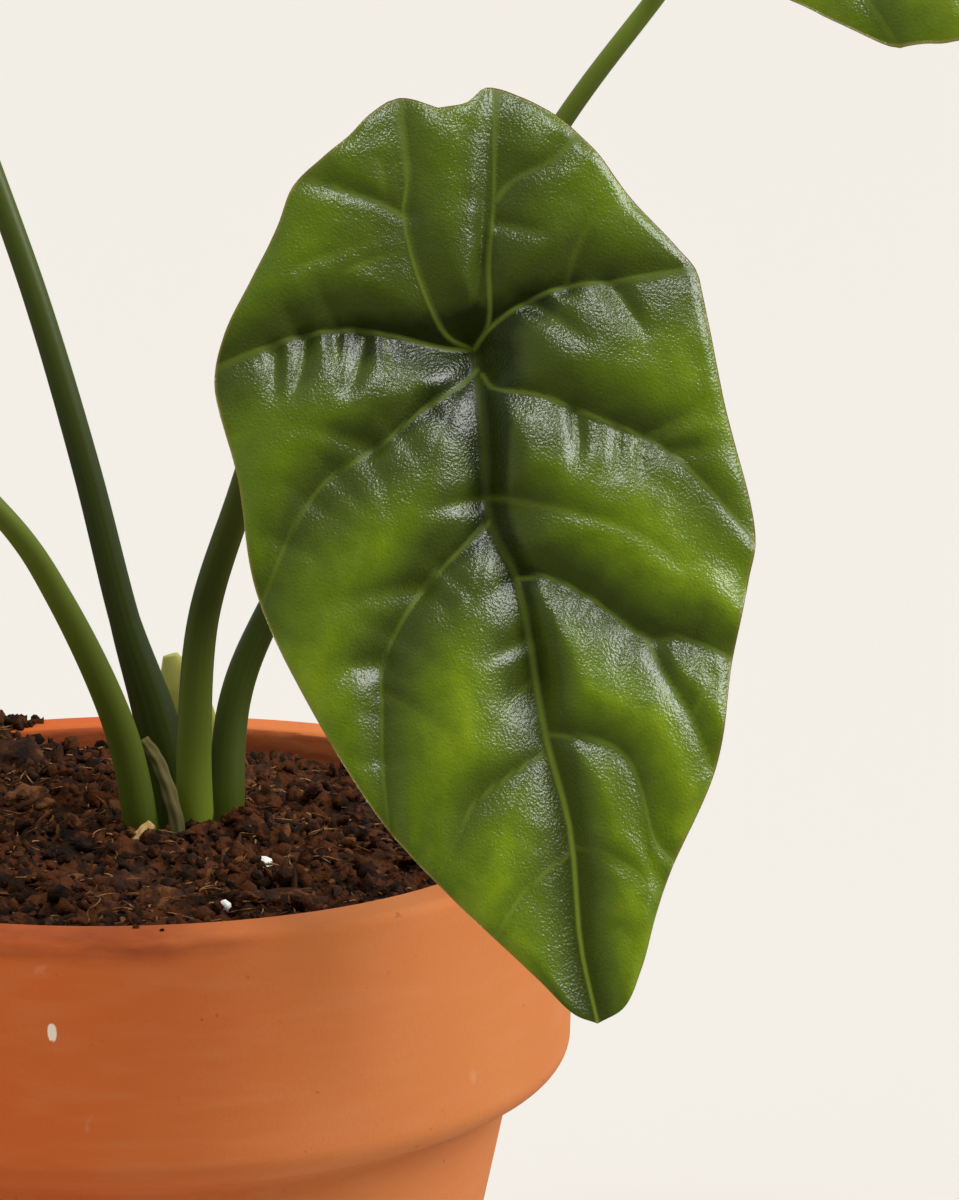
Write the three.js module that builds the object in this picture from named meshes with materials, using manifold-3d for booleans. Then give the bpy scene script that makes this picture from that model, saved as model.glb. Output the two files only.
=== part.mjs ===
// A small alocasia sinuata in a terracotta pot: four waved, deeply veined blades on slender petioles.
// Millimetres, +Z up. The pot stands on z = 0 and its axis is the z axis.

import * as THREE from "three";
import { mergeVertices } from "three/addons/utils/BufferGeometryUtils.js";
import Module from "manifold-3d";

const wasm = await Module();
wasm.setup();

// Driving dimensions

const GAP = 0.3; // clearance between pieces that touch on the real plant

const pot = {
  height: 120,
  rimRadius: 70,
  rimWall: 8,
  rimEdge: 1.5, // rounding of the rim's two edges
  collarHeight: 40, // the thick band round the top
  collarFoot: 6, // height over which the collar's underside curves in
  collarLowRadius: 69.2,
  neckRadius: 60.3, // where the body meets the collar
  bodyWall: 6.5,
  taper: 0.22, // how much the body's radius shrinks per millimetre down
  floor: 8,
  footEdge: 1.8,
  drainRadius: 10,
  facets: 48,
};

const mix = {
  wallHeight: 116.6, // height of the potting mix at the wall
  crownHeight: 119, // and round the stems
  mound: { x: 17, y: -5, height: 2, spread: 8 }, // in front of the right petiole
  backRightDip: 1.6,
  rings: 11,
  lumpSpacing: 8, // spacing of the coarse relief, and of the fine relief below
  crumbSpacing: 3.6,
  lumpHeight: 1.5,
  crumbHeight: 0.9,
  clods: 18,
  chips: 10,
};

const leafThickness = 0.9;
const bladeColumns = [0, 0.07, 0.17, 0.29, 0.42, 0.56, 0.7, 0.83, 0.93, 1];
const fanStation = 10; // rows up to this station all start at the petiole's junction
const tipStation = 28;

// Small helpers

// Draws from 0 to 1 that are the same on every run
function seededDraws(seed) {
  let state = seed;
  return () => {
    state = (state * 1664525 + 1013904223) % 4294967296;
    return state / 4294967296;
  };
}

const lerp = THREE.MathUtils.lerp;
const clamp01 = (value) => THREE.MathUtils.clamp(value, 0, 1);
const smooth01 = (value) => THREE.MathUtils.smoothstep(value, 0, 1);

// A number from -1 to 1 for each whole point of a grid
function latticeValue(ix, iy, seed) {
  const phase = ix * 127.1 + iy * 311.7 + seed * 74.7;
  const wave = Math.sin(phase) * 43758.5453;
  return 2 * (wave - Math.floor(wave)) - 1;
}

// Smooth bumps, from -1 to 1, over the plane
function bumps(x, y, spacing, seed) {
  const cellX = Math.floor(x / spacing);
  const cellY = Math.floor(y / spacing);
  const tx = smooth01(x / spacing - cellX);
  const ty = smooth01(y / spacing - cellY);
  const near = lerp(latticeValue(cellX, cellY, seed), latticeValue(cellX + 1, cellY, seed), tx);
  const far = lerp(latticeValue(cellX, cellY + 1, seed), latticeValue(cellX + 1, cellY + 1, seed), tx);
  return lerp(near, far, ty);
}

// Merges equal vertices and drops the triangles that this closes up
function closedGeometry(positions, indices) {
  const loose = new THREE.BufferGeometry();
  loose.setAttribute("position", new THREE.Float32BufferAttribute(positions, 3));
  loose.setIndex(indices);
  const merged = mergeVertices(loose, 1e-4);
  const kept = [];
  for (let i = 0; i < merged.index.count; i += 3) {
    const [a, b, c] = merged.index.array.slice(i, i + 3);
    if (a !== b && b !== c && c !== a) kept.push(a, b, c);
  }
  merged.setIndex(kept);
  return merged;
}

function toSolid(geometry) {
  const bare = geometry.clone();
  bare.deleteAttribute("normal");
  bare.deleteAttribute("uv");
  const merged = mergeVertices(bare, 1e-4);
  return new wasm.Manifold(
    new wasm.Mesh({
      numProp: 3,
      vertProperties: new Float32Array(merged.attributes.position.array),
      triVerts: new Uint32Array(merged.index.array),
    }),
  );
}

function toGeometry(solid) {
  const mesh = solid.getMesh();
  const geometry = new THREE.BufferGeometry();
  geometry.setAttribute("position", new THREE.BufferAttribute(mesh.vertProperties, 3));
  geometry.setIndex(new THREE.BufferAttribute(mesh.triVerts, 1));
  return geometry;
}

// Turns a profile of [radius, height] round the z axis
function turned(profile, facets) {
  const points = profile.map(([radius, height]) => new THREE.Vector2(radius, height));
  return new THREE.LatheGeometry(points, facets).rotateX(Math.PI / 2);
}

// A closed stem along a smooth curve. Each station is [x, y, z, half width, half depth].
function stem(stations, sides, steps, extra = 0) {
  const path = new THREE.CatmullRomCurve3(stations.map(([x, y, z]) => new THREE.Vector3(x, y, z)));
  const positions = [];
  const side = new THREE.Vector3(1, 0, 0);
  for (let i = 0; i <= steps; i += 1) {
    const t = i / steps;
    const centre = path.getPoint(t);
    const along = path.getTangent(t);
    side.addScaledVector(along, -side.dot(along)).normalize();
    const across = new THREE.Vector3().crossVectors(along, side);
    const place = t * (stations.length - 1);
    const lower = Math.min(Math.floor(place), stations.length - 2);
    const mixing = place - lower;
    const halfWidth = lerp(stations[lower][3], stations[lower + 1][3], mixing) + extra;
    const halfDepth = lerp(stations[lower][4], stations[lower + 1][4], mixing) + extra;
    if (i === 0) centre.addScaledVector(along, -extra);
    for (let k = 0; k < sides; k += 1) {
      const angle = (2 * Math.PI * k) / sides;
      const point = centre.clone();
      point.addScaledVector(side, halfWidth * Math.cos(angle));
      point.addScaledVector(across, halfDepth * Math.sin(angle));
      positions.push(point.x, point.y, point.z);
    }
  }
  const indices = [];
  for (let i = 0; i < steps; i += 1) {
    for (let k = 0; k < sides; k += 1) {
      const a = i * sides + k;
      const b = i * sides + ((k + 1) % sides);
      indices.push(a, b, a + sides, b, b + sides, a + sides);
    }
  }
  const last = steps * sides;
  for (let k = 1; k < sides - 1; k += 1) {
    indices.push(0, k + 1, k, last, last + k, last + k + 1);
  }
  return closedGeometry(positions, indices);
}

// The pot

const neckHeight = pot.height - pot.collarHeight;

// The wall inside, from the floor to the rim, as [radius, height]
function potInside() {
  const rimInside = pot.rimRadius - pot.rimWall;
  const neckInside = pot.neckRadius - pot.bodyWall;
  return [
    [neckInside - pot.taper * (neckHeight - pot.floor), pot.floor],
    [neckInside, neckHeight - pot.collarFoot],
    [rimInside - 1, neckHeight + pot.collarFoot],
    [rimInside, pot.height - pot.rimEdge],
  ];
}

function potGeometry() {
  const { height, rimRadius, rimWall, rimEdge, collarLowRadius, neckRadius } = pot;
  const footRadius = neckRadius - pot.taper * neckHeight;
  const profile = [
    [pot.drainRadius, 0],
    [footRadius - pot.footEdge, 0],
    [footRadius, pot.footEdge],
    [neckRadius, neckHeight],
  ];
  const curveSteps = 4;
  for (let i = 1; i <= curveSteps; i += 1) {
    const angle = (Math.PI / 2) * (i / curveSteps);
    const radius = neckRadius + (collarLowRadius - neckRadius) * Math.sin(angle);
    profile.push([radius, neckHeight + pot.collarFoot * (1 - Math.cos(angle))]);
  }
  const bevel = 0.3 * rimEdge;
  profile.push(
    [rimRadius, height - rimEdge],
    [rimRadius - bevel, height - bevel],
    [rimRadius - rimEdge, height],
    [rimRadius - rimWall + rimEdge, height],
    [rimRadius - rimWall + bevel, height - bevel],
    ...potInside().reverse(),
    [pot.drainRadius, pot.floor],
    [pot.drainRadius, 0],
  );
  return turned(profile, pot.facets);
}

// The plant's stems, bottom to top. The blades hang from the top of each petiole.

const junction = {
  back: new THREE.Vector3(-60, 34, 285),
  left: new THREE.Vector3(-116, -48, 221),
  front: new THREE.Vector3(54, -63.4, 203.9),
  right: new THREE.Vector3(103.8, 10, 273.7),
};

const petiolePaths = {
  left: [
    [4, -3, 105, 2.3, 2.3],
    [2.7, -6, 118.1, 2.8, 2.6],
    [-0.1, -8.5, 135.1, 2.5, 2.4],
    [-8.7, -17, 158.4, 2.0, 2.0],
    [-16.5, -25, 172.9, 1.7, 1.7],
    [-45, -37, 202, 1.5, 1.5],
    [-80, -43, 219, 1.4, 1.4],
  ],
  back: [
    [5.5, 5, 105, 2.5, 2.4],
    [6.6, 4.5, 121.5, 3.7, 3.0],
    [4.2, 4.5, 134.5, 3.5, 2.8],
    [-0.4, 4.5, 150.4, 2.4, 2.4],
    [-6.1, 6, 173.8, 2.2, 2.2],
    [-13.7, 9.5, 199.9, 2.0, 2.0],
    [-24, 15, 229, 1.8, 1.8],
    [-33, 21, 257, 1.7, 1.7],
    [-44, 27, 277, 1.6, 1.6],
  ],
  front: [
    [11, -1.8, 105, 2.3, 2.3],
    [10.3, -3, 119.9, 2.9, 2.6],
    [11.5, -3.5, 133.1, 2.7, 2.5],
    [13.9, -6, 152.6, 2.4, 2.4],
    [18, -12.5, 171, 2.2, 2.2],
    [26, -27, 192, 1.9, 1.9],
    [38, -41, 204, 1.8, 1.8],
  ],
  right: [
    [14.8, 3.6, 105, 2.3, 2.3],
    [15.1, 3, 121.9, 2.9, 2.6],
    [16.6, 5.5, 137.4, 2.5, 2.4],
    [21.8, 6, 150.8, 2.2, 2.2],
    [43, 5.2, 188, 1.8, 1.8],
    [67.5, 6, 229, 1.5, 1.5],
    [82, 8.5, 247.5, 1.4, 1.4],
    [93, 14, 261, 1.4, 1.4],
  ],
};

// The sheathed new leaf that rises behind the front petiole, flattened and drawn to a point
const shootPath = [
  [9.8, 8.8, 106, 2.3, 1.6],
  [9.2, 10.3, 120, 4.5, 2.2],
  [9, 10.5, 132, 4.6, 2.0],
  [7.6, 10.5, 138.5, 3.6, 1.5],
  [6.2, 10.5, 143.5, 1.2, 0.7],
];

// What is left of an old petiole, leaning between the left and the front ones
const witheredPath = [
  [8.6, -7.8, 110, 1.0, 0.9],
  [7.9, -7.4, 121, 1.1, 0.9],
  [6.6, -6.3, 126.2, 1.1, 0.8],
  [4.9, -5.1, 130.6, 1.0, 0.7],
  [2.9, -4.2, 133.4, 0.8, 0.6],
];

// A dry root end that sticks out of the mix in front
const rootStubPath = [
  [0.4, -15, 113, 1.1, 1.1],
  [0.6, -14.6, 117.6, 1.2, 1.1],
  [2.6, -13.4, 119.9, 1.1, 1.0],
  [4.5, -12.2, 121.9, 0.8, 0.8],
];

// The corm that all of it grows from, with its thick white roots

const corm = {
  x: 9,
  y: 1.5,
  middle: 96,
  halfHeight: 13,
  facets: 14,
  // [radius, height], with a low ring where each old leaf was
  profile: [
    [0, 82],
    [6, 84],
    [9.5, 89],
    [9, 92],
    [10.5, 95],
    [10, 98],
    [11, 101],
    [9.5, 105.5],
    [5, 108],
    [0, 108.6],
  ],
  roots: 8,
};

// extra: how much larger than the corm the solid is, all over
function cormSolid(extra) {
  const grown = corm.profile.map(([radius, height]) => [
    radius === 0 ? 0 : radius + extra,
    height + (extra * (height - corm.middle)) / corm.halfHeight,
  ]);
  let solid = toSolid(turned(grown, corm.facets).translate(corm.x, corm.y, 0));
  const draw = seededDraws(41);
  for (let i = 0; i < corm.roots; i += 1) {
    const angle = (2 * Math.PI * (i + 0.5 * draw())) / corm.roots;
    const depth = 64 - 26 * draw();
    const spread = 18 + 7 * draw();
    const startHeight = 88 + 8 * draw();
    const outward = (distance, height, radius) => {
      const x = corm.x + distance * Math.cos(angle);
      const y = corm.y + distance * Math.sin(angle);
      return [x, y, height, radius, radius];
    };
    const route = [
      outward(5, startHeight, 1.5),
      outward(14, startHeight - 2, 1.4),
      outward(spread, lerp(startHeight, depth, 0.5), 1.2),
      outward(spread + 3, depth, 0.8),
    ];
    solid = solid.add(toSolid(stem(route, 5, 7, extra)));
  }
  return solid;
}

// The blade, drawn flat: x to the right and y from the tip to the petiole's junction, seen from above.
// Both halves of the margin run from the notch between the rear lobes to the tip.

const notch = [1, 34.2];
const leafTip = [0, -95.7];

const margin = {
  right: [
    notch,
    [5, 34.2],
    [9, 35.5],
    [16.5, 30.5],
    [22, 24.5],
    [25.5, 17.5],
    [31.4, 8],
    [32.3, 1],
    [32.5, -14],
    [33.5, -33.5],
    [31.5, -39.5],
    [27, -50.5],
    [22, -64],
    [13, -77.5],
    [10.2, -83],
    [7.2, -89.5],
    [3.8, -94.4],
    leafTip,
  ],
  left: [
    notch,
    [-3.5, 36.3],
    [-8.5, 35.5],
    [-16.5, 30.5],
    [-21, 27],
    [-24.5, 21],
    [-29.5, 14],
    [-34.5, 7],
    [-36.5, 1],
    [-36, -13],
    [-35.8, -29],
    [-31.5, -45.5],
    [-24, -64],
    [-16, -76.5],
    [-7, -88.5],
    [-3, -94],
    leafTip,
  ],
};

const midrib = [
  [0, 0],
  [-1, -13.5],
  [-2.3, -25],
  [0, -33.5],
  [0, -55.5],
  [1, -69],
  [-0.4, -85],
  leafTip,
];

// A lateral vein. station: where the row of the grid that follows it leaves the midrib.
// depth and reach: how deep and how wide the trough is that it lies in.
const lateral = (side, station, depth, reach, ...path) => ({ side, station, depth, reach, path });

const laterals = [
  lateral("right", 0, 2.6, 5, [0, 0], [0.6, 16], notch),
  lateral("right", 2, 3, 6, [0, 0], [4, 10.5], [7.5, 25], [9.5, 35.4]),
  lateral("right", 4, 1.6, 4, [0, 0], [5.5, 15], [9, 21], [20.4, 26.5]),
  lateral("right", 7, 3.2, 6, [0, 0], [8.5, 4.5], [21.5, 5.2], [32, 4.6]),
  lateral("right", 10.3, 3.2, 6, [-0.4, -5], [7.5, -9], [21, -17.5], [33.5, -34]),
  lateral("right", 15.9, 2.8, 6, [0, -33.5], [9.5, -38], [18, -45.5], [27.5, -49.5]),
  lateral("right", 20.2, 2, 5, [0, -55.5], [10, -60], [12.5, -72], [14, -76]),
  lateral("right", 23.3, 1.4, 4, [0.8, -71], [5, -74], [11, -81.5]),
  lateral("left", 2, 3, 6, [0, 0], [-5.5, 7.5], [-5.5, 24], [-4.2, 36.2]),
  lateral("left", 4, 1.6, 4, [0, 0], [-6.6, 15], [-14, 24], [-20.4, 27.5]),
  lateral("left", 7, 3.2, 6, [0, 0], [-10.5, 3], [-23.5, 5.5], [-36, 3]),
  lateral("left", 10.3, 3.2, 6, [-0.4, -5], [-14.5, -11.5], [-25.5, -17], [-35.7, -31]),
  lateral("left", 14.3, 2.8, 6, [-2.3, -25], [-15.5, -35.5], [-21.5, -48], [-23.5, -65]),
  lateral("left", 20.2, 2, 5, [0, -55.5], [-11.5, -61], [-18.5, -73]),
  lateral("left", 23.3, 1.4, 4, [0.8, -71], [-6, -75], [-12, -82]),
];

const flatCurve = (points) =>
  new THREE.CatmullRomCurve3(points.map(([x, y]) => new THREE.Vector3(x, y, 0)));

// The share of a curve's length at which it passes nearest to a point
function nearestShare(curve, x, y) {
  const samples = 300;
  let best = 0;
  let bestDistance = Infinity;
  for (let i = 0; i <= samples; i += 1) {
    const point = curve.getPointAt(i / samples);
    const distance = Math.hypot(point.x - x, point.y - y);
    if (distance < bestDistance) {
      bestDistance = distance;
      best = i / samples;
    }
  }
  return best;
}

const midribCurve = flatCurve(midrib);
const spineShare = (station) => clamp01((station - fanStation) / (tipStation - fanStation));

// Each half of the blade: its margin, and the veins that its rows follow, from the notch to the tip
function bladeHalf(sideName) {
  const rim = flatCurve(margin[sideName]);
  const own = laterals.filter((vein) => vein.side === sideName);
  const guides = own.map(({ station, path }) => {
    const end = path[path.length - 1];
    return { station, curve: flatCurve(path), share: nearestShare(rim, end[0], end[1]) };
  });
  if (sideName === "left") guides.unshift({ station: 0, curve: flatCurve(laterals[0].path), share: 0 });
  guides.push({ station: tipStation, curve: null, share: 1 });
  return { rim, guides };
}

const halves = { right: bladeHalf("right"), left: bladeHalf("left") };

// A point of the flat blade. reach runs from 0 on the midrib to 1 on the margin.
function flatPoint(half, station, reach) {
  if (station === tipStation) return new THREE.Vector3(...leafTip, 0);
  const { rim, guides } = half;
  let after = guides.findIndex((guide) => guide.station >= station);
  after = Math.max(after, 1);
  const first = guides[after - 1];
  const second = guides[after];
  const share = (station - first.station) / (second.station - first.station);
  const along = (guide, t) => (guide.curve ? guide.curve.getPointAt(t) : new THREE.Vector3(...leafTip, 0));
  const blend = (t) => along(first, t).lerp(along(second, t), share);
  const point = blend(reach);
  const rimPoint = rim.getPointAt(lerp(first.share, second.share, share));
  const spinePoint = midribCurve.getPointAt(spineShare(station));
  point.addScaledVector(rimPoint.sub(blend(1)), reach * reach);
  point.addScaledVector(spinePoint.sub(blend(0)), (1 - reach) * (1 - reach));
  return point;
}

// Distance from a point to a vein, and how far along the vein that is, from 0 to 1
function toVein(samples, x, y) {
  let distance = Infinity;
  let along = 0;
  for (let i = 0; i + 1 < samples.length; i += 1) {
    const [ax, ay] = samples[i];
    const dx = samples[i + 1][0] - ax;
    const dy = samples[i + 1][1] - ay;
    const t = clamp01(((x - ax) * dx + (y - ay) * dy) / (dx * dx + dy * dy));
    const here = Math.hypot(x - ax - t * dx, y - ay - t * dy);
    if (here < distance) {
      distance = here;
      along = (i + t) / (samples.length - 1);
    }
  }
  return { distance, along };
}

const sampled = (points) => flatCurve(points).getPoints(14).map((point) => [point.x, point.y]);
const troughs = [
  { depth: 3.4, reach: 6.5, samples: sampled(midrib), main: true },
  ...laterals.map(({ depth, reach, path }) => ({ depth, reach, samples: sampled(path), main: false })),
];

// How deep the upper face lies at a point, and how far the rib below it stands out
function veinRelief(x, y) {
  const sharpness = 6; // of the maximum over the veins, which this keeps smooth
  let sum = 0;
  let rib = 0;
  for (const { depth, reach, samples, main } of troughs) {
    const { distance, along } = toVein(samples, x, y);
    const fade = 1 - 0.65 * along;
    const trough = depth * fade * Math.exp(-((distance / reach) ** 1.3));
    sum += trough ** sharpness;
    const ribHeight = main ? 1.8 : 0.25 * depth;
    rib = Math.max(rib, ribHeight * (1 - 0.8 * along) * Math.exp(-((distance / 1.4) ** 2)));
  }
  return { trough: sum ** (1 / sharpness), rib };
}

// A closed blade. shape: mirror, width, length, arch (across), droop (of the tip), tuck (of the rear
// lobes), sway (sideways, of the tip), wave (of the margin) and seed. The junction is at the origin.
function bladeGeometry(shape, rowsPerStation, extraBelow = 0) {
  const rows = Math.round(tipStation * rowsPerStation);
  const columns = bladeColumns.length - 1;
  const junctionTrough = veinRelief(0, 0).trough;
  const upper = [];
  const lower = [];
  const { mirror, width, length, arch, droop, tuck, sway, wave, seed } = shape;
  for (let row = 0; row <= rows; row += 1) {
    const station = Math.min(row / rowsPerStation, tipStation);
    const nearTip = smooth01((tipStation - station) / 3);
    for (let column = -columns; column <= columns; column += 1) {
      const half = column < 0 ? halves.left : halves.right;
      const reach = bladeColumns[Math.abs(column)];
      const { x, y } = flatPoint(half, station, reach);
      const { trough, rib } = veinRelief(x, y);
      const down = Math.max(0, -y) / 95.5;
      const rear = Math.max(0, y) / 35;
      const taken = Math.abs(x) / 36;
      const edge = Math.max(0, (reach - 0.8) / 0.2);
      const phase = seed + (column < 0 ? 1.3 : 0);
      const ripple = Math.sin(station * 1.9 + phase) * smooth01(station / 3) * nearTip;
      const outer = clamp01((reach - 0.45) / 0.55);
      let height = junctionTrough - trough;
      height -= arch * taken * taken + droop * down * down + tuck * rear * rear;
      height -= 1.3 * edge * edge * nearTip;
      height += wave * outer * outer * ripple;
      const across = mirror * (x * width + sway * down * down);
      const lengthwise = y * length;
      upper.push(across, lengthwise, height);
      lower.push(across, lengthwise, height - leafThickness - rib - extraBelow);
    }
  }
  const line = 2 * columns + 1;
  const under = upper.length / 3;
  const indices = [];
  const triangle = (a, b, c) => {
    if (mirror > 0) indices.push(a, b, c);
    else indices.push(a, c, b);
  };
  for (let row = 0; row < rows; row += 1) {
    for (let k = 0; k < line - 1; k += 1) {
      const a = row * line + k;
      const b = a + 1;
      const c = a + line;
      const d = c + 1;
      if (k < columns) {
        triangle(a, c, d);
        triangle(a, d, b);
        triangle(under + a, under + d, under + c);
        triangle(under + a, under + b, under + d);
      } else {
        triangle(a, c, b);
        triangle(b, c, d);
        triangle(under + a, under + b, under + c);
        triangle(under + b, under + d, under + c);
      }
    }
    for (const [from, to] of [
      [row * line, (row + 1) * line],
      [(row + 1) * line + line - 1, row * line + line - 1],
    ]) {
      triangle(from, under + from, to);
      triangle(to, under + from, under + to);
    }
  }
  return closedGeometry([...upper, ...lower], indices);
}

// Places a blade: toTip is the way from the junction to the tip, faceTo the way its upper face looks
function placed(geometry, at, toTip, faceTo) {
  const lengthwise = new THREE.Vector3(...toTip).normalize().negate();
  const face = new THREE.Vector3(...faceTo);
  face.addScaledVector(lengthwise, -face.dot(lengthwise)).normalize();
  const across = new THREE.Vector3().crossVectors(lengthwise, face);
  const frame = new THREE.Matrix4().makeBasis(across, lengthwise, face).setPosition(at);
  return geometry.applyMatrix4(frame);
}

const blades = {
  front: {
    shape: {
      mirror: 1, width: 1, length: 1,
      arch: 2.6, droop: 4, tuck: 2.5,
      sway: 0, wave: 0.5, seed: 0,
    },
    toTip: [0.178, -0.337, -0.925],
    faceTo: [0, -0.94, 0.342],
    rowsPerStation: 1.25,
  },
  back: {
    shape: {
      mirror: -1, width: 1.06, length: 1.05,
      arch: 4, droop: 16, tuck: 5,
      sway: 5, wave: 1, seed: 2,
    },
    toTip: [-0.4, 0.6, -0.6],
    faceTo: [-0.5, 0.45, 0.75],
    rowsPerStation: 0.75,
  },
  left: {
    shape: {
      mirror: 1, width: 0.9, length: 0.88,
      arch: 3.4, droop: 12, tuck: 4,
      sway: -4, wave: 0.9, seed: 4,
    },
    toTip: [-0.78, -0.2, -0.55],
    faceTo: [-0.5, -0.45, 0.75],
    rowsPerStation: 0.75,
  },
  right: {
    shape: {
      mirror: -1, width: 0.98, length: 0.95,
      arch: 3, droop: 10, tuck: 4,
      sway: 3, wave: 0.8, seed: 6,
    },
    toTip: [0.847, -0.489, -0.211],
    faceTo: [-0.231, -0.695, 0.681],
    rowsPerStation: 0.75,
  },
};

function bladeOf(name, extraBelow) {
  const { shape, toTip, faceTo, rowsPerStation } = blades[name];
  return placed(bladeGeometry(shape, rowsPerStation, extraBelow), junction[name], toTip, faceTo);
}

// A petiole turns in to the blade's underside, ends just inside it and is trimmed to it, clear by the gap
function petioleSolid(name) {
  const { faceTo, toTip } = blades[name];
  const tipward = new THREE.Vector3(...toTip).normalize();
  const face = new THREE.Vector3(...faceTo);
  face.addScaledVector(tipward, -face.dot(tipward)).normalize();
  const path = petiolePaths[name];
  const radius = path[path.length - 1][3];
  const station = (below, rearward) => {
    const point = junction[name].clone().addScaledVector(face, -below).addScaledVector(tipward, -rearward);
    return [point.x, point.y, point.z, radius, radius];
  };
  const whole = stem([...path, station(8, 4), station(1.4, 0)], 10, 2 * path.length + 4);
  return toSolid(whole).subtract(toSolid(bladeOf(name, GAP)));
}

// The potting mix: a filled pot's worth, with lumps, clods and bark chips, and a hole for each stem

function mixHeight(x, y) {
  const radius = Math.hypot(x, y);
  const share = clamp01(radius / 60);
  const dip = mix.backRightDip * smooth01((x + y - 20) / 60);
  const { mound } = mix;
  const toMound = Math.hypot(x - mound.x, y - mound.y) / mound.spread;
  const hump = mound.height * Math.exp(-toMound * toMound);
  const level = lerp(mix.crownHeight, mix.wallHeight, share) - dip + hump;
  const lumps = mix.lumpHeight * bumps(x, y, mix.lumpSpacing, 3);
  const crumbs = mix.crumbHeight * bumps(x, y, mix.crumbSpacing, 8);
  return level + (lumps + crumbs) * (1 - 0.6 * share ** 6);
}

function mixSolid() {
  const [foot, neck, collar, rim] = potInside();
  const wallShare = (mix.wallHeight - collar[1]) / (rim[1] - collar[1]);
  const wallRadius = lerp(collar[0], rim[0], wallShare) - GAP;
  const positions = [0, 0, pot.floor + GAP];
  const ringAt = (radius, heightOf) => {
    for (let i = 0; i < pot.facets; i += 1) {
      const angle = (2 * Math.PI * i) / pot.facets;
      const x = radius * Math.sin(angle);
      const y = -radius * Math.cos(angle);
      positions.push(x, y, heightOf(x, y));
    }
  };
  const rings = [[foot[0], foot[1] + GAP], neck, collar];
  for (const [radius, height] of rings) ringAt(radius - GAP, () => height);
  for (let k = mix.rings; k >= 1; k -= 1) ringAt((wallRadius * k) / mix.rings, mixHeight);
  positions.push(0, 0, mixHeight(0, 0));
  const ringCount = rings.length + mix.rings;
  const indices = [];
  const vertex = (ring, i) => 1 + ring * pot.facets + (i % pot.facets);
  const top = 1 + ringCount * pot.facets;
  for (let i = 0; i < pot.facets; i += 1) {
    indices.push(0, vertex(0, i + 1), vertex(0, i));
    for (let ring = 0; ring + 1 < ringCount; ring += 1) {
      const a = vertex(ring, i);
      const b = vertex(ring, i + 1);
      const c = vertex(ring + 1, i);
      const d = vertex(ring + 1, i + 1);
      indices.push(a, b, c, b, d, c);
    }
    indices.push(vertex(ringCount - 1, i), vertex(ringCount - 1, i + 1), top);
  }
  let solid = toSolid(closedGeometry(positions, indices));

  const draw = seededDraws(7);
  const scatter = (geometry, size, sink) => {
    const angle = 2 * Math.PI * draw();
    const radius = lerp(20, 53, Math.sqrt(draw()));
    const x = radius * Math.cos(angle);
    const y = radius * Math.sin(angle);
    geometry.rotateZ(2 * Math.PI * draw());
    geometry.rotateX(0.5 * (draw() - 0.5));
    geometry.translate(x, y, mixHeight(x, y) - sink * size);
    solid = solid.add(toSolid(geometry));
  };
  for (let i = 0; i < mix.clods; i += 1) {
    const size = 1.8 + 1.6 * draw();
    scatter(new THREE.IcosahedronGeometry(size).scale(1.2, 1, 0.8), size, 0.15);
  }
  for (let i = 0; i < mix.chips; i += 1) {
    const size = 3 + 2.5 * draw();
    scatter(new THREE.BoxGeometry(2 * size, 0.9 * size, 0.5 * size), size, 0.05);
  }
  const highClod = new THREE.IcosahedronGeometry(6).scale(1.3, 1, 0.9);
  highClod.translate(-23, 42, 119.5);
  solid = solid.add(toSolid(highClod));

  const holes = [
    cormSolid(GAP),
    ...Object.values(petiolePaths).map((path) => toSolid(stem(path, 10, 2 * path.length, GAP))),
    toSolid(stem(shootPath, 10, 8, GAP)),
    toSolid(stem(witheredPath, 6, 8, GAP)),
    toSolid(stem(rootStubPath, 6, 6, GAP)),
  ];
  return holes.reduce((left, hole) => left.subtract(hole), solid);
}

// The corm is socketed for the stems that grow from its crown
function socketedCorm() {
  const stems = [
    ...Object.values(petiolePaths).map((path) => stem(path, 10, 2 * path.length, GAP)),
    stem(shootPath, 10, 8, GAP),
  ];
  return stems.reduce((left, hole) => left.subtract(toSolid(hole)), cormSolid(0));
}

// The parts and their finishes

const finish = {
  terracotta: new THREE.MeshStandardMaterial({ color: 0xc0703a, roughness: 0.85, metalness: 0 }),
  pottingMix: new THREE.MeshStandardMaterial({ color: 0x3a2418, roughness: 0.95, metalness: 0 }),
  leaf: new THREE.MeshStandardMaterial({ color: 0x3f6b1c, roughness: 0.35, metalness: 0 }),
  petiole: new THREE.MeshStandardMaterial({ color: 0x4c6b22, roughness: 0.45, metalness: 0 }),
  sheath: new THREE.MeshStandardMaterial({ color: 0xa3ad55, roughness: 0.5, metalness: 0 }),
  dry: new THREE.MeshStandardMaterial({ color: 0x9a7f58, roughness: 0.8, metalness: 0 }),
  corm: new THREE.MeshStandardMaterial({ color: 0xb89a72, roughness: 0.8, metalness: 0 }),
};

const plant = new THREE.Group();

function part(name, geometry, material) {
  const mesh = new THREE.Mesh(geometry, material);
  mesh.name = name;
  plant.add(mesh);
}

part("pot", potGeometry(), finish.terracotta);
part("potting_mix", toGeometry(mixSolid()), finish.pottingMix);
part("corm", toGeometry(socketedCorm()), finish.corm);
for (const name of Object.keys(blades)) {
  part(`petiole_${name}`, toGeometry(petioleSolid(name)), finish.petiole);
  part(`blade_${name}`, bladeOf(name, 0), finish.leaf);
}
part("new_shoot", stem(shootPath, 10, 8), finish.sheath);
part("withered_stalk", stem(witheredPath, 6, 8), finish.dry);
part("root_stub", stem(rootStubPath, 6, 6), finish.dry);

export default plant;
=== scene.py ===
"""A small alocasia sinuata in a terracotta pot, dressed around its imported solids.

The shapes are worked out in millimetres and put into the meshes in metres. Z is up, the pot's axis is the z
axis and the pot stands on z = 0.
"""

import math

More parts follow.
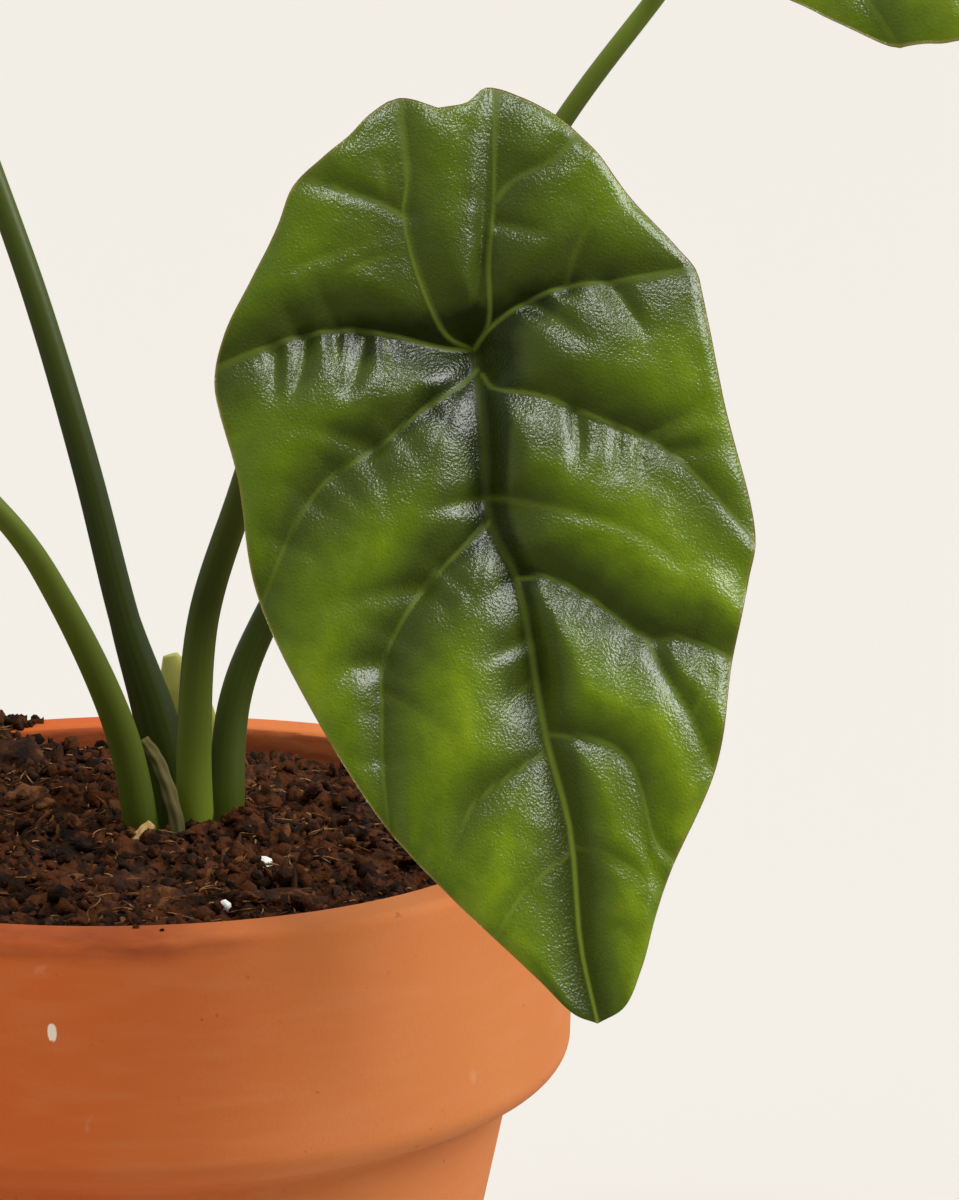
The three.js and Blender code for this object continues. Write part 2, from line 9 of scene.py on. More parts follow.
import bmesh
import bpy
import numpy as np
from bpy.props import FloatProperty, FloatVectorProperty, IntProperty, PointerProperty
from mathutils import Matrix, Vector


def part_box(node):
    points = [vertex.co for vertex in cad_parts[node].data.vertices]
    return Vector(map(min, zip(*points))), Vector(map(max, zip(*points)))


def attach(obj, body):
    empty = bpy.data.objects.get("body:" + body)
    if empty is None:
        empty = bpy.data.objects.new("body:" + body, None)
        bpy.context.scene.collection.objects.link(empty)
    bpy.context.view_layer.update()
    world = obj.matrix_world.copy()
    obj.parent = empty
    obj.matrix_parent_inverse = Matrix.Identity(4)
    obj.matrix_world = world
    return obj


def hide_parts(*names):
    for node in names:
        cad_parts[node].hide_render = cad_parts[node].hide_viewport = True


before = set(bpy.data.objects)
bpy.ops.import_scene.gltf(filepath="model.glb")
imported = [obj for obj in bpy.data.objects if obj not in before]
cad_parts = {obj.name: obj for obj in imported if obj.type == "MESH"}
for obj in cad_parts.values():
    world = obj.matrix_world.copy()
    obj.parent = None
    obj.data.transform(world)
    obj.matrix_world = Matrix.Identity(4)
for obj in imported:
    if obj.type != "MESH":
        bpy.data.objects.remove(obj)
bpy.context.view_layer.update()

bl_info = {
    "name": "Potted alocasia",
    "version": (1, 0, 0),
    "blender": (4, 5, 0),
    "location": "View3D > Sidebar > Plant",
    "description": "An alocasia sinuata with quilted leaves in a terracotta pot",
    "category": "Object",
}

MM = 0.001  # a millimetre in Blender's metres


def colour(code):
    """An sRGB hex colour as linear red, green, blue and alpha."""
    values = [int(code[i : i + 2], 16) / 255 for i in (0, 2, 4)]
    linear = [v / 12.92 if v <= 0.04045 else ((v + 0.055) / 1.055) ** 2.4 for v in values]
    return (*linear, 1.0)


def per_mm(size):
    """The scale of a texture whose features are size millimetres apart."""
    return 1 / (size * MM)


# Settings


def length(name, description, millimetres):
    """A length that the user sets, given here in millimetres."""
    return FloatProperty(
        name=name, description=description, default=millimetres * MM, min=0, unit="LENGTH", precision=5
    )


def tint(name, description, code):
    """A colour that the user sets, given here as an sRGB hex code."""
    return FloatVectorProperty(
        name=name, description=description, subtype="COLOR", size=4, min=0, max=1, default=colour(code)
    )


POT_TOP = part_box("pot")[1]


class PotSettings(bpy.types.PropertyGroup):
    height: length("Height", "From the foot to the rim", POT_TOP.z / MM)
    rim_radius: length("Rim radius", "Outer radius of the rim", POT_TOP.x / MM)
    rim_wall: length("Rim wall", "Thickness of the rim", 8)
    rim_edge: length("Rim edge", "Rounding of the rim's two edges", 1.5)
    collar_height: length("Collar height", "Height of the thick band round the top", 40)
    collar_foot: length("Collar foot", "Height over which the collar's underside curves in", 6)
    collar_low_radius: length("Collar low radius", "Outer radius at the foot of the collar", 69.2)
    neck_radius: length("Neck radius", "Radius of the body under the collar", 60.3)
    body_wall: length("Body wall", "Thickness of the body", 6.5)
    taper: FloatProperty(name="Taper", description="Radius that the body loses per length down", default=0.22)
    floor: length("Floor", "Thickness of the pot's floor", 8)
    foot_edge: length("Foot edge", "Bevel of the foot", 1.8)
    drain_radius: length("Drain radius", "Radius of the drain hole", 10)
    clay: tint("Clay", "Main colour of the fired clay", "CA7A41")
    # Painted shade: the colour of the pot's left side, which lies away from the key light
    shaded_clay: tint("Red clay", "Colour of the side that was fired redder", "C25A20")


class MixSettings(bpy.types.PropertyGroup):
    wall_height: length("Wall height", "Height of the potting mix at the wall", 116.6)
    crown_height: length("Crown height", "Height of the potting mix at the stems", 119)
    crumbs: IntProperty(name="Crumbs", description="Number of loose crumbs", default=3900, min=0)
    fibres: IntProperty(name="Fibres", description="Number of loose fibres", default=1500, min=0)
    chips: IntProperty(name="Chips", description="Number of small bark chips", default=300, min=0)
    soil: tint("Soil", "Main colour of the moist mix", "311805")


class BladeSettings(bpy.types.PropertyGroup):
    thickness: length("Thickness", "Thickness of a blade between its veins", 0.55)
    fine_depth: length("Fine depth", "Depth of the creases at the finer veins", 0.7)
    cord: length("Cord", "How far the midrib's cord stands out of its trough", 0.6)
    # Partly the leaf's own darker green beside the veins and partly painted shade in the troughs
    dark: tint("Dark green", "The green beside the veins", "3E4A11")
    light: tint("Light green", "The green on the crests between the veins", "576C0F")


class StemSettings(bpy.types.PropertyGroup):
    old: tint("Old green", "Green of the darkest stretches of a petiole", "283205")
    young: tint("Young green", "Green of the freshest stretches of a petiole", "85982A")


class StageSettings(bpy.types.PropertyGroup):
    backdrop: tint("Backdrop", "Colour of the backdrop", "F4EFE7")
    paper: tint("Paper", "Colour of the floor before it is lit", "CAC6BF")
    key: FloatProperty(name="Key light", description="Strength of the soft box on the right", default=3.0)
    top: FloatProperty(name="Top light", description="Strength of the soft box overhead", default=1.4)
    fill: FloatProperty(name="Fill light", description="Strength of the weak light on the left", default=1.1)
    distance: length("Camera distance", "From the pot's axis to the camera, level", 726.5)
    camera_height: length("Camera height", "Above the surface that the pot stands on", 306.1)
    camera_side: length("Camera side", "How far right of the pot the camera is", 54.8)
    pitch: FloatProperty(
        name="Pitch",
        description="How far the camera looks down",
        default=math.radians(11.79),
        subtype="ANGLE",
    )
    lens: FloatProperty(name="Lens", description="Focal length in millimetres", default=144.06)


# Small helpers


def smooth(value, low=0.0, high=1.0):
    """Rises smoothly from 0 at low to 1 at high."""
    t = np.clip((value - low) / (high - low), 0, 1)
    return t * t * (3 - 2 * t)


def lattice(ix, iy, seed):
    """A number from -1 to 1 for each whole point of a grid."""
    wave = np.sin(ix * 127.1 + iy * 311.7 + seed * 74.7) * 43758.5453
    return 2 * (wave - np.floor(wave)) - 1


def bumps(x, y, spacing, seed):
    """Smooth bumps from -1 to 1 over the plane: the lattice's numbers, blended inside each cell."""
    cell_x, cell_y = np.floor(x / spacing), np.floor(y / spacing)
    tx, ty = smooth(x / spacing - cell_x), smooth(y / spacing - cell_y)
    near = lattice(cell_x, cell_y, seed) * (1 - tx) + lattice(cell_x + 1, cell_y, seed) * tx
    far = lattice(cell_x, cell_y + 1, seed) * (1 - tx) + lattice(cell_x + 1, cell_y + 1, seed) * tx
    return near * (1 - ty) + far * ty


def spline(points, places):
    """The centripetal Catmull-Rom curve through the points, at places from 0 to 1 that are even in points."""
    points = np.asarray(points, float)
    padded = np.vstack([2 * points[0] - points[1], points, 2 * points[-1] - points[-2]])
    place = np.clip(places, 0, 1) * (len(points) - 1)
    cell = np.minimum(place.astype(int), len(points) - 2)
    t = (place - cell)[:, None]
    p0, p1, p2, p3 = (padded[cell + k] for k in range(4))
    d0, d1, d2 = (np.linalg.norm(b - a, axis=1)[:, None] ** 0.5 for a, b in ((p0, p1), (p1, p2), (p2, p3)))
    m1 = ((p1 - p0) / d0 - (p2 - p0) / (d0 + d1) + (p2 - p1) / d1) * d1
    m2 = ((p2 - p1) / d1 - (p3 - p1) / (d1 + d2) + (p3 - p2) / d2) * d1
    return p1 + m1 * t + (3 * (p2 - p1) - 2 * m1 - m2) * t**2 + (2 * (p1 - p2) + m1 + m2) * t**3


def spline_at(points, shares):
    """The same curve, at shares from 0 to 1 of its length."""
    places = np.linspace(0, 1, 201)
    steps = np.linalg.norm(np.diff(spline(points, places), axis=0), axis=1)
    lengths = np.concatenate([[0], np.cumsum(steps)])
    return spline(points, np.interp(np.asarray(shares) * lengths[-1], lengths, places))


def grid_quads(rows, columns, wrap=False):
    """The four-cornered faces of a grid of points, row by row. wrap joins the last column to the first."""
    index = np.arange(rows * columns).reshape(rows, columns)
    if wrap:
        index = np.hstack([index, index[:, :1]])
    corners = (index[:-1, :-1], index[:-1, 1:], index[1:, 1:], index[1:, :-1])
    return np.stack(corners, -1).reshape(-1, 4)


def new_piece(name, points, quads, triangles=(), *, material, weld=0.0, **attributes):
    """A piece of the plant from points in millimetres and their faces. Points less than weld apart are
    joined. What else is given, with a number for each point, is kept as attributes for the material."""
    mesh = bpy.data.meshes.new(name)
    quads = np.asarray(quads, int).reshape(-1, 4)
    triangles = np.asarray(triangles, int).reshape(-1, 3)
    corners = np.concatenate([quads.ravel(), triangles.ravel()])
    sizes = np.concatenate([np.full(len(quads), 4), np.full(len(triangles), 3)])
    mesh.vertices.add(len(points))
    mesh.vertices.foreach_set("co", (np.asarray(points) * MM).astype(np.float32).ravel())
    mesh.loops.add(len(corners))
    mesh.loops.foreach_set("vertex_index", corners.astype(np.int32))
    mesh.polygons.add(len(sizes))
    mesh.polygons.foreach_set("loop_start", (np.cumsum(sizes) - sizes).astype(np.int32))
    for key, values in attributes.items():
        layer = mesh.attributes.new(key, "FLOAT", "POINT")
        layer.data.foreach_set("value", np.asarray(values, np.float32).ravel())
    mesh.update(calc_edges=True)
    if weld:
        work = bmesh.new()
        work.from_mesh(mesh)
        bmesh.ops.remove_doubles(work, verts=work.verts, dist=weld * MM)
        work.to_mesh(mesh)
        work.free()
    mesh.validate()
    mesh.shade_smooth()
    mesh.materials.append(material)
    piece = bpy.data.objects.new(name, mesh)
    bpy.context.scene.collection.objects.link(piece)
    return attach(piece, "root")


# Finishes

AMOUNT, FROM, TO = 0, 6, 7  # what a Mix node takes when it mixes colours
COLOURS = {"data_type": "RGBA", "out": 2}  # sets a Mix node to colours and takes its result
SCALED_SUM = {"operation": "MULTIPLY_ADD"}  # sets a Math node to first * second + third


def node(tree, kind, links=None, ramp=(), out=0, **settings):
    """Adds a node: its own settings, its sockets' values or the sockets they take, and the stops of its ramp.
    Gives back the output asked for, or nothing where out is None."""
    made = tree.nodes.new(kind)
    for key, value in settings.items():
        setattr(made, key, value)
    for key, value in (links or {}).items():
        if isinstance(value, bpy.types.NodeSocket):
            tree.links.new(value, made.inputs[key])
        else:
            made.inputs[key].default_value = value
    if ramp:
        stops = made.color_ramp.elements
        while len(stops) < len(ramp):
            stops.new(1)
        for stop, (place, shade) in zip(stops, ramp):
            stop.position = place
            stop.color = shade
    return None if out is None else made.outputs[out]


def finish(name, base, **constants):
    """A material with its shader. base builds what varies over the surface: colour, bumps and, on a leaf,
    gloss."""
    material = bpy.data.materials.new(name)
    material.use_nodes = True
    tree = material.node_tree
    tree.nodes.clear()
    place = node(tree, "ShaderNodeTexCoord", out="Object")
    shader = node(tree, "ShaderNodeBsdfPrincipled", {**constants, **base(tree, place)})
    node(tree, "ShaderNodeOutputMaterial", {"Surface": shader}, out=None)
    return material


def cloudy(place, size, detail):
    """What a noise texture takes for a cloudy pattern whose features are size millimetres apart."""
    return {"Vector": place, "Scale": per_mm(size), "Detail": detail}


def fired_terracotta(clay, shaded_clay):
    """Pressed and fired earthenware: dry, matt and finely pored. Its left side, away from the key light, is
    painted redder and darker as painted shade, and its right side paler orange where the light falls. It is
    darker inside and in a band under the rim at the front left, and has faint pale wipes, a few specks and a
    chip of lime."""

    def base(tree, place):
        flash, damp = (
            node(tree, "ShaderNodeAttribute", out="Fac", attribute_name=key) for key in ("flash", "damp")
        )
        # Painted light and shade: redder and darker to the left, away from the key light, and paler orange to
        # the right, where it falls; a cloud breaks up the change
        cloud = node(tree, "ShaderNodeTexNoise", cloudy(place, 30, 4))
        uneven = node(tree, "ShaderNodeMath", {0: cloud, 1: 0.6, 2: flash}, **SCALED_SUM)
        fired = node(tree, "ShaderNodeMapRange", {0: uneven, 1: 0.2, 2: 1.4})
        shade = node(tree, "ShaderNodeMix", {AMOUNT: fired, FROM: shaded_clay, TO: clay}, **COLOURS)
        # Pale wipes that run round the pot, a bloom of lime and dark specks: each shows where its pattern is
        # above the first level, and fully above the second
        round_the_pot = node(tree, "ShaderNodeMapping", {"Vector": place, "Scale": (1, 1, 5)})
        for pattern, low, high, most, code in (
            (cloudy(round_the_pot, 14, 4), 0.45, 0.8, 0.18, "D08F63"),
            (cloudy(place, 8, 6), 0.7, 0.86, 0.4, "E2C3A8"),
            (cloudy(place, 1.6, 2), 0.72, 0.8, 0.5, "7A3B1C"),
        ):
            cloud = node(tree, "ShaderNodeTexNoise", pattern)
            amount = node(tree, "ShaderNodeMapRange", {0: cloud, 1: low, 2: high, 4: most})
            shade = node(tree, "ShaderNodeMix", {AMOUNT: amount, FROM: shade, TO: colour(code)}, **COLOURS)
        # Darker inside the pot and in a band under the rim at the front left, broken up by a cloud
        cloud = node(tree, "ShaderNodeTexNoise", cloudy(round_the_pot, 9, 4))
        darkening = node(tree, "ShaderNodeMath", {0: cloud, 1: damp}, operation="MULTIPLY")
        dark = node(tree, "ShaderNodeMapRange", {0: darkening, 1: 0.1, 2: 0.6, 4: 0.85})
        shade = node(tree, "ShaderNodeMix", {AMOUNT: dark, FROM: shade, TO: colour("7E3414")}, **COLOURS)
        # The chip of lime: how far away its middle is, 1 at its edge, and a cloud that frays the edge
        middle = tuple(-at / half for at, half in zip(LIME_CHIP, LIME_CHIP_HALF))
        shrunk = tuple(per_mm(half) for half in LIME_CHIP_HALF)
        chip = node(tree, "ShaderNodeMapping", {"Vector": place, "Location": middle, "Scale": shrunk})
        away = node(tree, "ShaderNodeVectorMath", {0: chip}, out=1, operation="LENGTH")
        cloud = node(tree, "ShaderNodeTexNoise", cloudy(place, 0.9, 2))
        ragged = node(tree, "ShaderNodeMath", {0: cloud, 1: 0.8, 2: away}, **SCALED_SUM)
        limed = node(tree, "ShaderNodeMapRange", {0: ragged, 1: 1.25, 2: 1.45, 3: 0.85, 4: 0.0})
        shade = node(tree, "ShaderNodeMix", {AMOUNT: limed, FROM: shade, TO: colour("EFE3D2")}, **COLOURS)
        pores = node(tree, "ShaderNodeTexNoise", cloudy(place, 0.7, 4))
        bump = node(tree, "ShaderNodeBump", {"Strength": 0.35, "Distance": 0.2 * MM, "Height": pores})
        return {"Base Color": shade, "Normal": bump}

    return finish("fired_terracotta", base, **{"Roughness": 0.85, "Specular IOR Level": 0.3})


def earthy(name, dark, middle, light, grain, depth=0.9, roughness=0.95):
    """Peat, bark, coir or a corm's skin: matt and fibrous, each bit a shade of its own, which the attribute
    shade gives. Perlite is made the same way, pale and less rough. grain is how many millimetres lie between
    its clouds."""

    def base(tree, place):
        own = node(tree, "ShaderNodeAttribute", out="Fac", attribute_name="shade")
        fine = node(tree, "ShaderNodeTexNoise", cloudy(place, grain, 5))
        broad = node(tree, "ShaderNodeTexNoise", cloudy(place, 6 * grain, 2))
        patch = node(tree, "ShaderNodeMath", {0: broad, 1: 0.5, 2: fine}, **SCALED_SUM)
        both = node(tree, "ShaderNodeMath", {0: own, 1: 0.4, 2: patch}, **SCALED_SUM)
        stops = [(0.68, colour(dark)), (0.93, middle), (1.0, colour(light))]
        shade = node(tree, "ShaderNodeValToRGB", {0: both}, stops)
        rough = node(tree, "ShaderNodeTexNoise", cloudy(place, 0.7, 5))
        bump = node(tree, "ShaderNodeBump", {"Strength": depth, "Distance": 0.6 * MM, "Height": rough})
        return {"Base Color": shade, "Normal": bump}

    return finish(name, base, **{"Roughness": roughness, "Specular IOR Level": 0.2})


def waxy_leaf(dark, light):
    """A leathery leaf under a waxy cuticle: glossy in a fine pebbled grain, dark beside the veins and fresh
    green on the crests, with paler cords. The dark beside the veins is partly the leaf's own green and partly
    painted shade, darkest round the junction and on the midrib's right wall. Its underside is paler and dull.
    The pebbles lie 0.34 mm apart, somewhat coarser than on a real leaf, so that they show."""

    def base(tree, place):
        shade, vein, cord, rib, edge, upper = (
            node(tree, "ShaderNodeAttribute", out="Fac", attribute_name=key)
            for key in ("shade", "vein", "cord", "rib", "edge", "upper")
        )
        fine = node(tree, "ShaderNodeTexNoise", cloudy(place, 2.2, 3))
        mottled = node(tree, "ShaderNodeMath", {0: fine, 1: 0.14, 2: shade}, **SCALED_SUM)
        broad = node(tree, "ShaderNodeTexNoise", cloudy(place, 10, 4))
        level = node(tree, "ShaderNodeMath", {0: broad, 1: 0.33, 2: mottled}, **SCALED_SUM)
        # From the crests' fresh green to the dark beside the veins; the darkest stops are painted shade round
        # the junction and on the midrib's right wall
        stops = [
            (0.2, colour("718514")),
            (0.33, tuple(light)),
            (0.48, colour("4A5A11")),
            (0.62, tuple(dark)),
            (0.82, tuple(dark)),
            (1.0, colour("232C07")),
        ]
        green = node(tree, "ShaderNodeValToRGB", {0: level}, stops)
        pale_green, under_green, rib_green, rim_brown = (
            colour(code) for code in ("7D8F2C", "668745", "A3B56A", "7F7436")
        )
        above = node(tree, "ShaderNodeMix", {AMOUNT: vein, FROM: green, TO: pale_green}, **COLOURS)
        below = node(tree, "ShaderNodeMix", {AMOUNT: rib, FROM: under_green, TO: rib_green}, **COLOURS)
        faces = node(tree, "ShaderNodeMix", {AMOUNT: upper, FROM: below, TO: above}, **COLOURS)
        rimmed = node(tree, "ShaderNodeMix", {AMOUNT: edge, FROM: faces, TO: rim_brown}, **COLOURS)
        glossy = node(tree, "ShaderNodeMapRange", {0: upper, 3: 0.6, 4: 0.18})
        duller = node(tree, "ShaderNodeMath", {0: cord, 1: 0.3, 2: glossy}, **SCALED_SUM)
        patchy = node(tree, "ShaderNodeTexNoise", cloudy(place, 5, 3))
        roughness = node(tree, "ShaderNodeMath", {0: patchy, 1: 0.1, 2: duller}, **SCALED_SUM)
        sheen = node(tree, "ShaderNodeMapRange", {0: cord, 3: 0.5, 4: 0.12})
        pebbles = node(
            tree, "ShaderNodeTexVoronoi", {"Vector": place, "Scale": per_mm(0.34)}, feature="SMOOTH_F1"
        )
        skin = node(tree, "ShaderNodeTexNoise", cloudy(place, 0.4, 3))
        grain = node(tree, "ShaderNodeMath", {0: pebbles, 1: -0.7, 2: skin}, **SCALED_SUM)
        pebbled = node(tree, "ShaderNodeMapRange", {0: cord, 3: 1.0, 4: 0.25})
        bump = node(tree, "ShaderNodeBump", {"Strength": pebbled, "Distance": 0.085 * MM, "Height": grain})
        return {"Base Color": rimmed, "Roughness": roughness, "Specular IOR Level": sheen, "Normal": bump}

    return finish("waxy_leaf", base, IOR=1.45)


def fleshy_stem(name, old, young, streak, roughness=0.45):
    """A fleshy, smooth stem: satin, from dark to fresh green as its attribute fresh says, with faint
    lengthwise streaks. A withered one is brown and dull."""

    def base(tree, place):
        fresh, along, around = (
            node(tree, "ShaderNodeAttribute", out="Fac", attribute_name=key)
            for key in ("fresh", "along", "around")
        )
        green = node(tree, "ShaderNodeMix", {AMOUNT: fresh, FROM: old, TO: young}, **COLOURS)
        # About a dozen streaks from the front round to the back, drawn out lengthwise
        slow = node(tree, "ShaderNodeMath", {0: along, 1: 0.2}, operation="MULTIPLY")
        line = node(tree, "ShaderNodeCombineXYZ", {0: around, 1: slow})
        streaks = node(tree, "ShaderNodeTexNoise", {"Vector": line, "Scale": 12, "Detail": 3})
        faint = node(tree, "ShaderNodeMapRange", {0: streaks, 1: 0.45, 2: 0.85, 4: 0.12})
        shade = node(tree, "ShaderNodeMix", {AMOUNT: faint, FROM: green, TO: colour(streak)}, **COLOURS)
        skin = node(tree, "ShaderNodeTexNoise", cloudy(place, 0.9, 3))
        bump = node(tree, "ShaderNodeBump", {"Strength": 0.3, "Distance": 0.12 * MM, "Height": skin})
        return {"Base Color": shade, "Normal": bump}

    return finish(name, base, **{"Roughness": roughness, "Specular IOR Level": 0.35})


# The pot


def arc(centre, start, end, radii, steps):
    """Points on an ellipse round a centre, from one angle in degrees to another."""
    angle = np.radians(np.linspace(start, end, steps))
    return np.column_stack([centre[0] + radii[0] * np.cos(angle), centre[1] + radii[1] * np.sin(angle)])


def run(start, end, steps):
    """Evenly spaced points of a straight run."""
    return np.linspace(start, end, steps)


def pot_inside(s):
    """The wall inside, from the floor to the rim, as radius and height."""
    neck_height = s.height - s.collar_height
    rim_inside = s.rim_radius - s.rim_wall
    neck_inside = s.neck_radius - s.body_wall
    return (
        np.array(
            [
                [neck_inside - s.taper * (neck_height - s.floor), s.floor],
                [neck_inside, neck_height - s.collar_foot],
                [rim_inside - MM, neck_height + s.collar_foot],
                [rim_inside, s.height - s.rim_edge],
            ]
        )
        / MM
    )


def pot_profile(s):
    """The section of the pot, from the drain hole round the outside to the floor inside: straight runs, a
    quarter of an ellipse under the collar and a quarter of a circle at each edge of the rim."""
    top, rim, edge = s.height / MM, s.rim_radius / MM, s.rim_edge / MM
    neck_height, neck = (s.height - s.collar_height) / MM, s.neck_radius / MM
    foot, bevel = neck - s.taper * neck_height, s.foot_edge / MM
    drain, floor, collar_foot = s.drain_radius / MM, s.floor / MM, s.collar_foot / MM
    low = s.collar_low_radius / MM
    inner = (s.rim_radius - s.rim_wall) / MM
    inside = pot_inside(s)[::-1]
    parts = [
        arc((drain + 1, 1), 180, 270, (1, 1), 5),
        arc((foot - bevel, bevel), 270, 360, (bevel, bevel), 7),
        run((foot, bevel), (neck, neck_height), 40)[1:],
        arc((neck, neck_height + collar_foot), 270, 360, (low - neck, collar_foot), 16)[1:],
        run((low, neck_height + collar_foot), (rim, top - edge), 30)[1:],
        arc((rim - edge, top - edge), 0, 90, (edge, edge), 9)[1:],
        arc((inner + edge, top - edge), 90, 180, (edge, edge), 9),
        run(inside[0], inside[1], 12)[1:],
        run(inside[1], inside[2], 6)[1:],
        run(inside[2], inside[3], 12)[1:],
        arc((drain + 1, floor - 1), 90, 180, (1, 1), 5),
    ]
    return np.vstack(parts)


def turned(profile, facets):
    """A profile of radius and height turned round the z axis, as a grid of points and its closed faces."""
    angle = np.linspace(0, 2 * np.pi, facets, endpoint=False)
    x = profile[:, 0, None] * np.sin(angle)
    y = -profile[:, 0, None] * np.cos(angle)
    z = np.repeat(profile[:, 1, None], facets, 1)
    return np.stack([x, y, z], -1), grid_quads(len(profile), facets, wrap=True)


POT_FACETS = 208
LIME_CHIP = (-6.1, -69.5, 106)  # where it sits
LIME_CHIP_HALF = (0.7, 2, 1.5)  # half its width, depth and height


class PLANT_OT_pot(bpy.types.Operator):
    """Make the terracotta pot, a turned section that is a little out of true"""

    bl_idname = "plant.pot"
    bl_label = "Pot"

    def execute(self, context):
        s = context.scene.plant_pot
        profile = pot_profile(s)
        profile = np.vstack([profile, profile[:1]])
        points, quads = turned(profile, POT_FACETS)
        # The wall wanders by a tenth of a millimetre
        x, y, z = points[..., 0], points[..., 1], points[..., 2]
        radius = np.hypot(x, y)
        angle = np.arctan2(y, x)
        wander = 0.12 * np.sin(3 * angle + z / 23) + 0.07 * np.sin(7 * angle - z / 11)
        factor = 1 + np.where(radius > 25, wander, 0) / np.maximum(radius, 1)
        points = np.stack([x * factor, y * factor, z], -1).reshape(-1, 3)
        x, y, z = points.T
        radius = np.hypot(x, y)
        top = s.height / MM
        # The clay is darker inside, and in a band under the rim at the front left
        line = pot_inside(s)
        inside = (radius < np.interp(z, line[:, 1], line[:, 0]) + 0.5) & (z > s.floor / MM)
        band = smooth(z, top - 6, top - 1.5) * smooth(-x, -34, -6) * smooth(-y, 0, 20)
        pot = new_piece(
            "terracotta_pot",
            points,
            quads,
            weld=0.001,
            material=fired_terracotta(tuple(s.clay), tuple(s.shaded_clay)),
            # Painted light: 1 on the right, where the key light falls, and 0 on the shaded left
            flash=smooth(x, -10, 52),
            damp=np.where(inside, 1.0, 0.75 * band),
        )
        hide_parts("pot")
        return {"FINISHED"}


# The potting mix

MOUND = {"x": 17, "y": -5, "height": 2, "spread": 8}  # in front of the right petiole
# Heaps and a hollow: x, y, height and spread
DRIFTS = [(-31, 53, 6.5, 9), (-14, 11, -3.5, 11), (-4, 32, 1.6, 9), (30, -25, 1.2, 9)]
# The part of the first heap that lies on the rim
SPILL = {"x": -30, "width": 4.2, "height": 3, "crumbs": 230}
LOOSE_CLOD = ("clod", 5, (-23, 42, 117.5), 0.4, 0.1)  # in the same heap: kind, size, place, turn and lean
MIX_REACH = 61  # how far from the axis a loose bit may reach
STEM_ROOM, STEM_BIT = 6, 0.9  # the room round a stem, and the largest bit that lies in it
# White grains, and crumbs on the rim: x, y and size
WHITE_GRAINS = [(21.9, -20.8, 1.5), (17.3, -43.7, 1.0), (38, 17, 1.3)]
RIM_SPECKS = [(5.6, -64.2, 0.5), (9.5, -65.8, 0.35), (-38.0, -52.6, 0.45), (47.0, 44.0, 0.5)]


def mix_height(x, y, s):
    """Height of the mix: a level that falls from the stems to the wall and to the back right, a mound in
    front of the stems, and lumps and crumbs that calm down at the wall."""
    share = np.clip(np.hypot(x, y) / 60, 0, 1)
    dip = 1.6 * smooth((x + y - 20) / 60)
    hump = MOUND["height"] * np.exp(-(np.hypot(x - MOUND["x"], y - MOUND["y"]) / MOUND["spread"]) ** 2)
    level = (s.crown_height + (s.wall_height - s.crown_height) * share) / MM - dip + hump
    uneven = 1.5 * bumps(x, y, 8, 3) + 0.9 * bumps(x, y, 3.6, 8)
    return level + uneven * (1 - 0.6 * share**6)


def fine_mix_height(x, y, s):
    """The same with what the solids leave out: shallow heaps and a hollow, and grain in three steps."""
    drift = sum(
        height * np.exp(-(((x - middle_x) ** 2 + (y - middle_y) ** 2) / spread**2))
        for middle_x, middle_y, height, spread in DRIFTS
    )
    grain = 0.9 * bumps(x, y, 2.3, 5) + 0.6 * bumps(x, y, 1.3, 6) + 0.9 * bumps(x + 3, y - 4, 4.7, 9)
    return mix_height(x, y, s) + drift + grain


def lumps(centres, radii, stretch, draws, rings=4, sides=6, roughness=0.45):
    """Closed lumps, each a ball of rings by sides points between two poles. Each point's distance from the
    middle is drawn, the ball is stretched, turned at random and put at its centre."""
    count = len(centres)
    polar = np.linspace(0, np.pi, rings + 2)[1:-1]
    around = np.linspace(0, 2 * np.pi, sides, endpoint=False)
    ring = np.stack(
        [
            np.outer(np.sin(polar), np.cos(around)),
            np.outer(np.sin(polar), np.sin(around)),
            np.outer(np.cos(polar), np.ones(sides)),
        ],
        -1,
    ).reshape(-1, 3)
    ball = np.vstack([[0, 0, 1], ring, [0, 0, -1]])
    shape = ball[None] * (1 + roughness * draws.uniform(-1, 1, (count, len(ball), 1)))
    shape = shape * np.asarray(stretch)[:, None, :] * np.asarray(radii)[:, None, None]
    turn = np.linalg.qr(draws.normal(size=(count, 3, 3)))[0]
    turn = turn * np.sign(np.linalg.det(turn))[:, None, None]
    points = np.einsum("nij,nkj->nki", turn, shape) + np.asarray(centres)[:, None, :]
    quads = grid_quads(rings, sides, wrap=True)[:, ::-1] + 1
    last = len(ball) - 1
    spin = np.roll(np.arange(sides), -1)
    top = np.column_stack([np.zeros(sides, int), 1 + np.arange(sides), 1 + spin])
    low = last - sides
    bottom = np.column_stack([np.full(sides, last), low + spin, low + np.arange(sides)])
    shift = (np.arange(count) * len(ball))[:, None, None]
    quads = (quads[None] + shift).reshape(-1, 4)
    triangles = (np.vstack([top, bottom])[None] + shift).reshape(-1, 3)
    return points.reshape(-1, 3), quads, triangles, len(ball)


def seeded_draws(seed):
    """The draws from 0 to 1 that also placed the solids' clods and chips."""
    state = seed
    while True:
        state = (state * 1664525 + 1013904223) % 4294967296
        yield state / 4294967296


def clod_places(s):
    """Place, size and turn of each clod and each large chip, drawn in the order in which the solids were."""
    draw = seeded_draws(7)
    found = []
    for kind, count in (("clod", 18), ("chip", 10)):
        for _ in range(count):
            size = 1.8 + 1.6 * next(draw) if kind == "clod" else 3 + 2.5 * next(draw)
            angle = 2 * math.pi * next(draw)
            radius = 20 + 33 * math.sqrt(next(draw))
            turn, lean = 2 * math.pi * next(draw), 0.5 * (next(draw) - 0.5)
            x, y = radius * math.cos(angle), radius * math.sin(angle)
            sink = (0.15 if kind == "clod" else 0.05) * size
            z = float(mix_height(np.array(x), np.array(y), s)) - sink
            found.append((kind, size, (x, y, z), turn, lean))
    return found


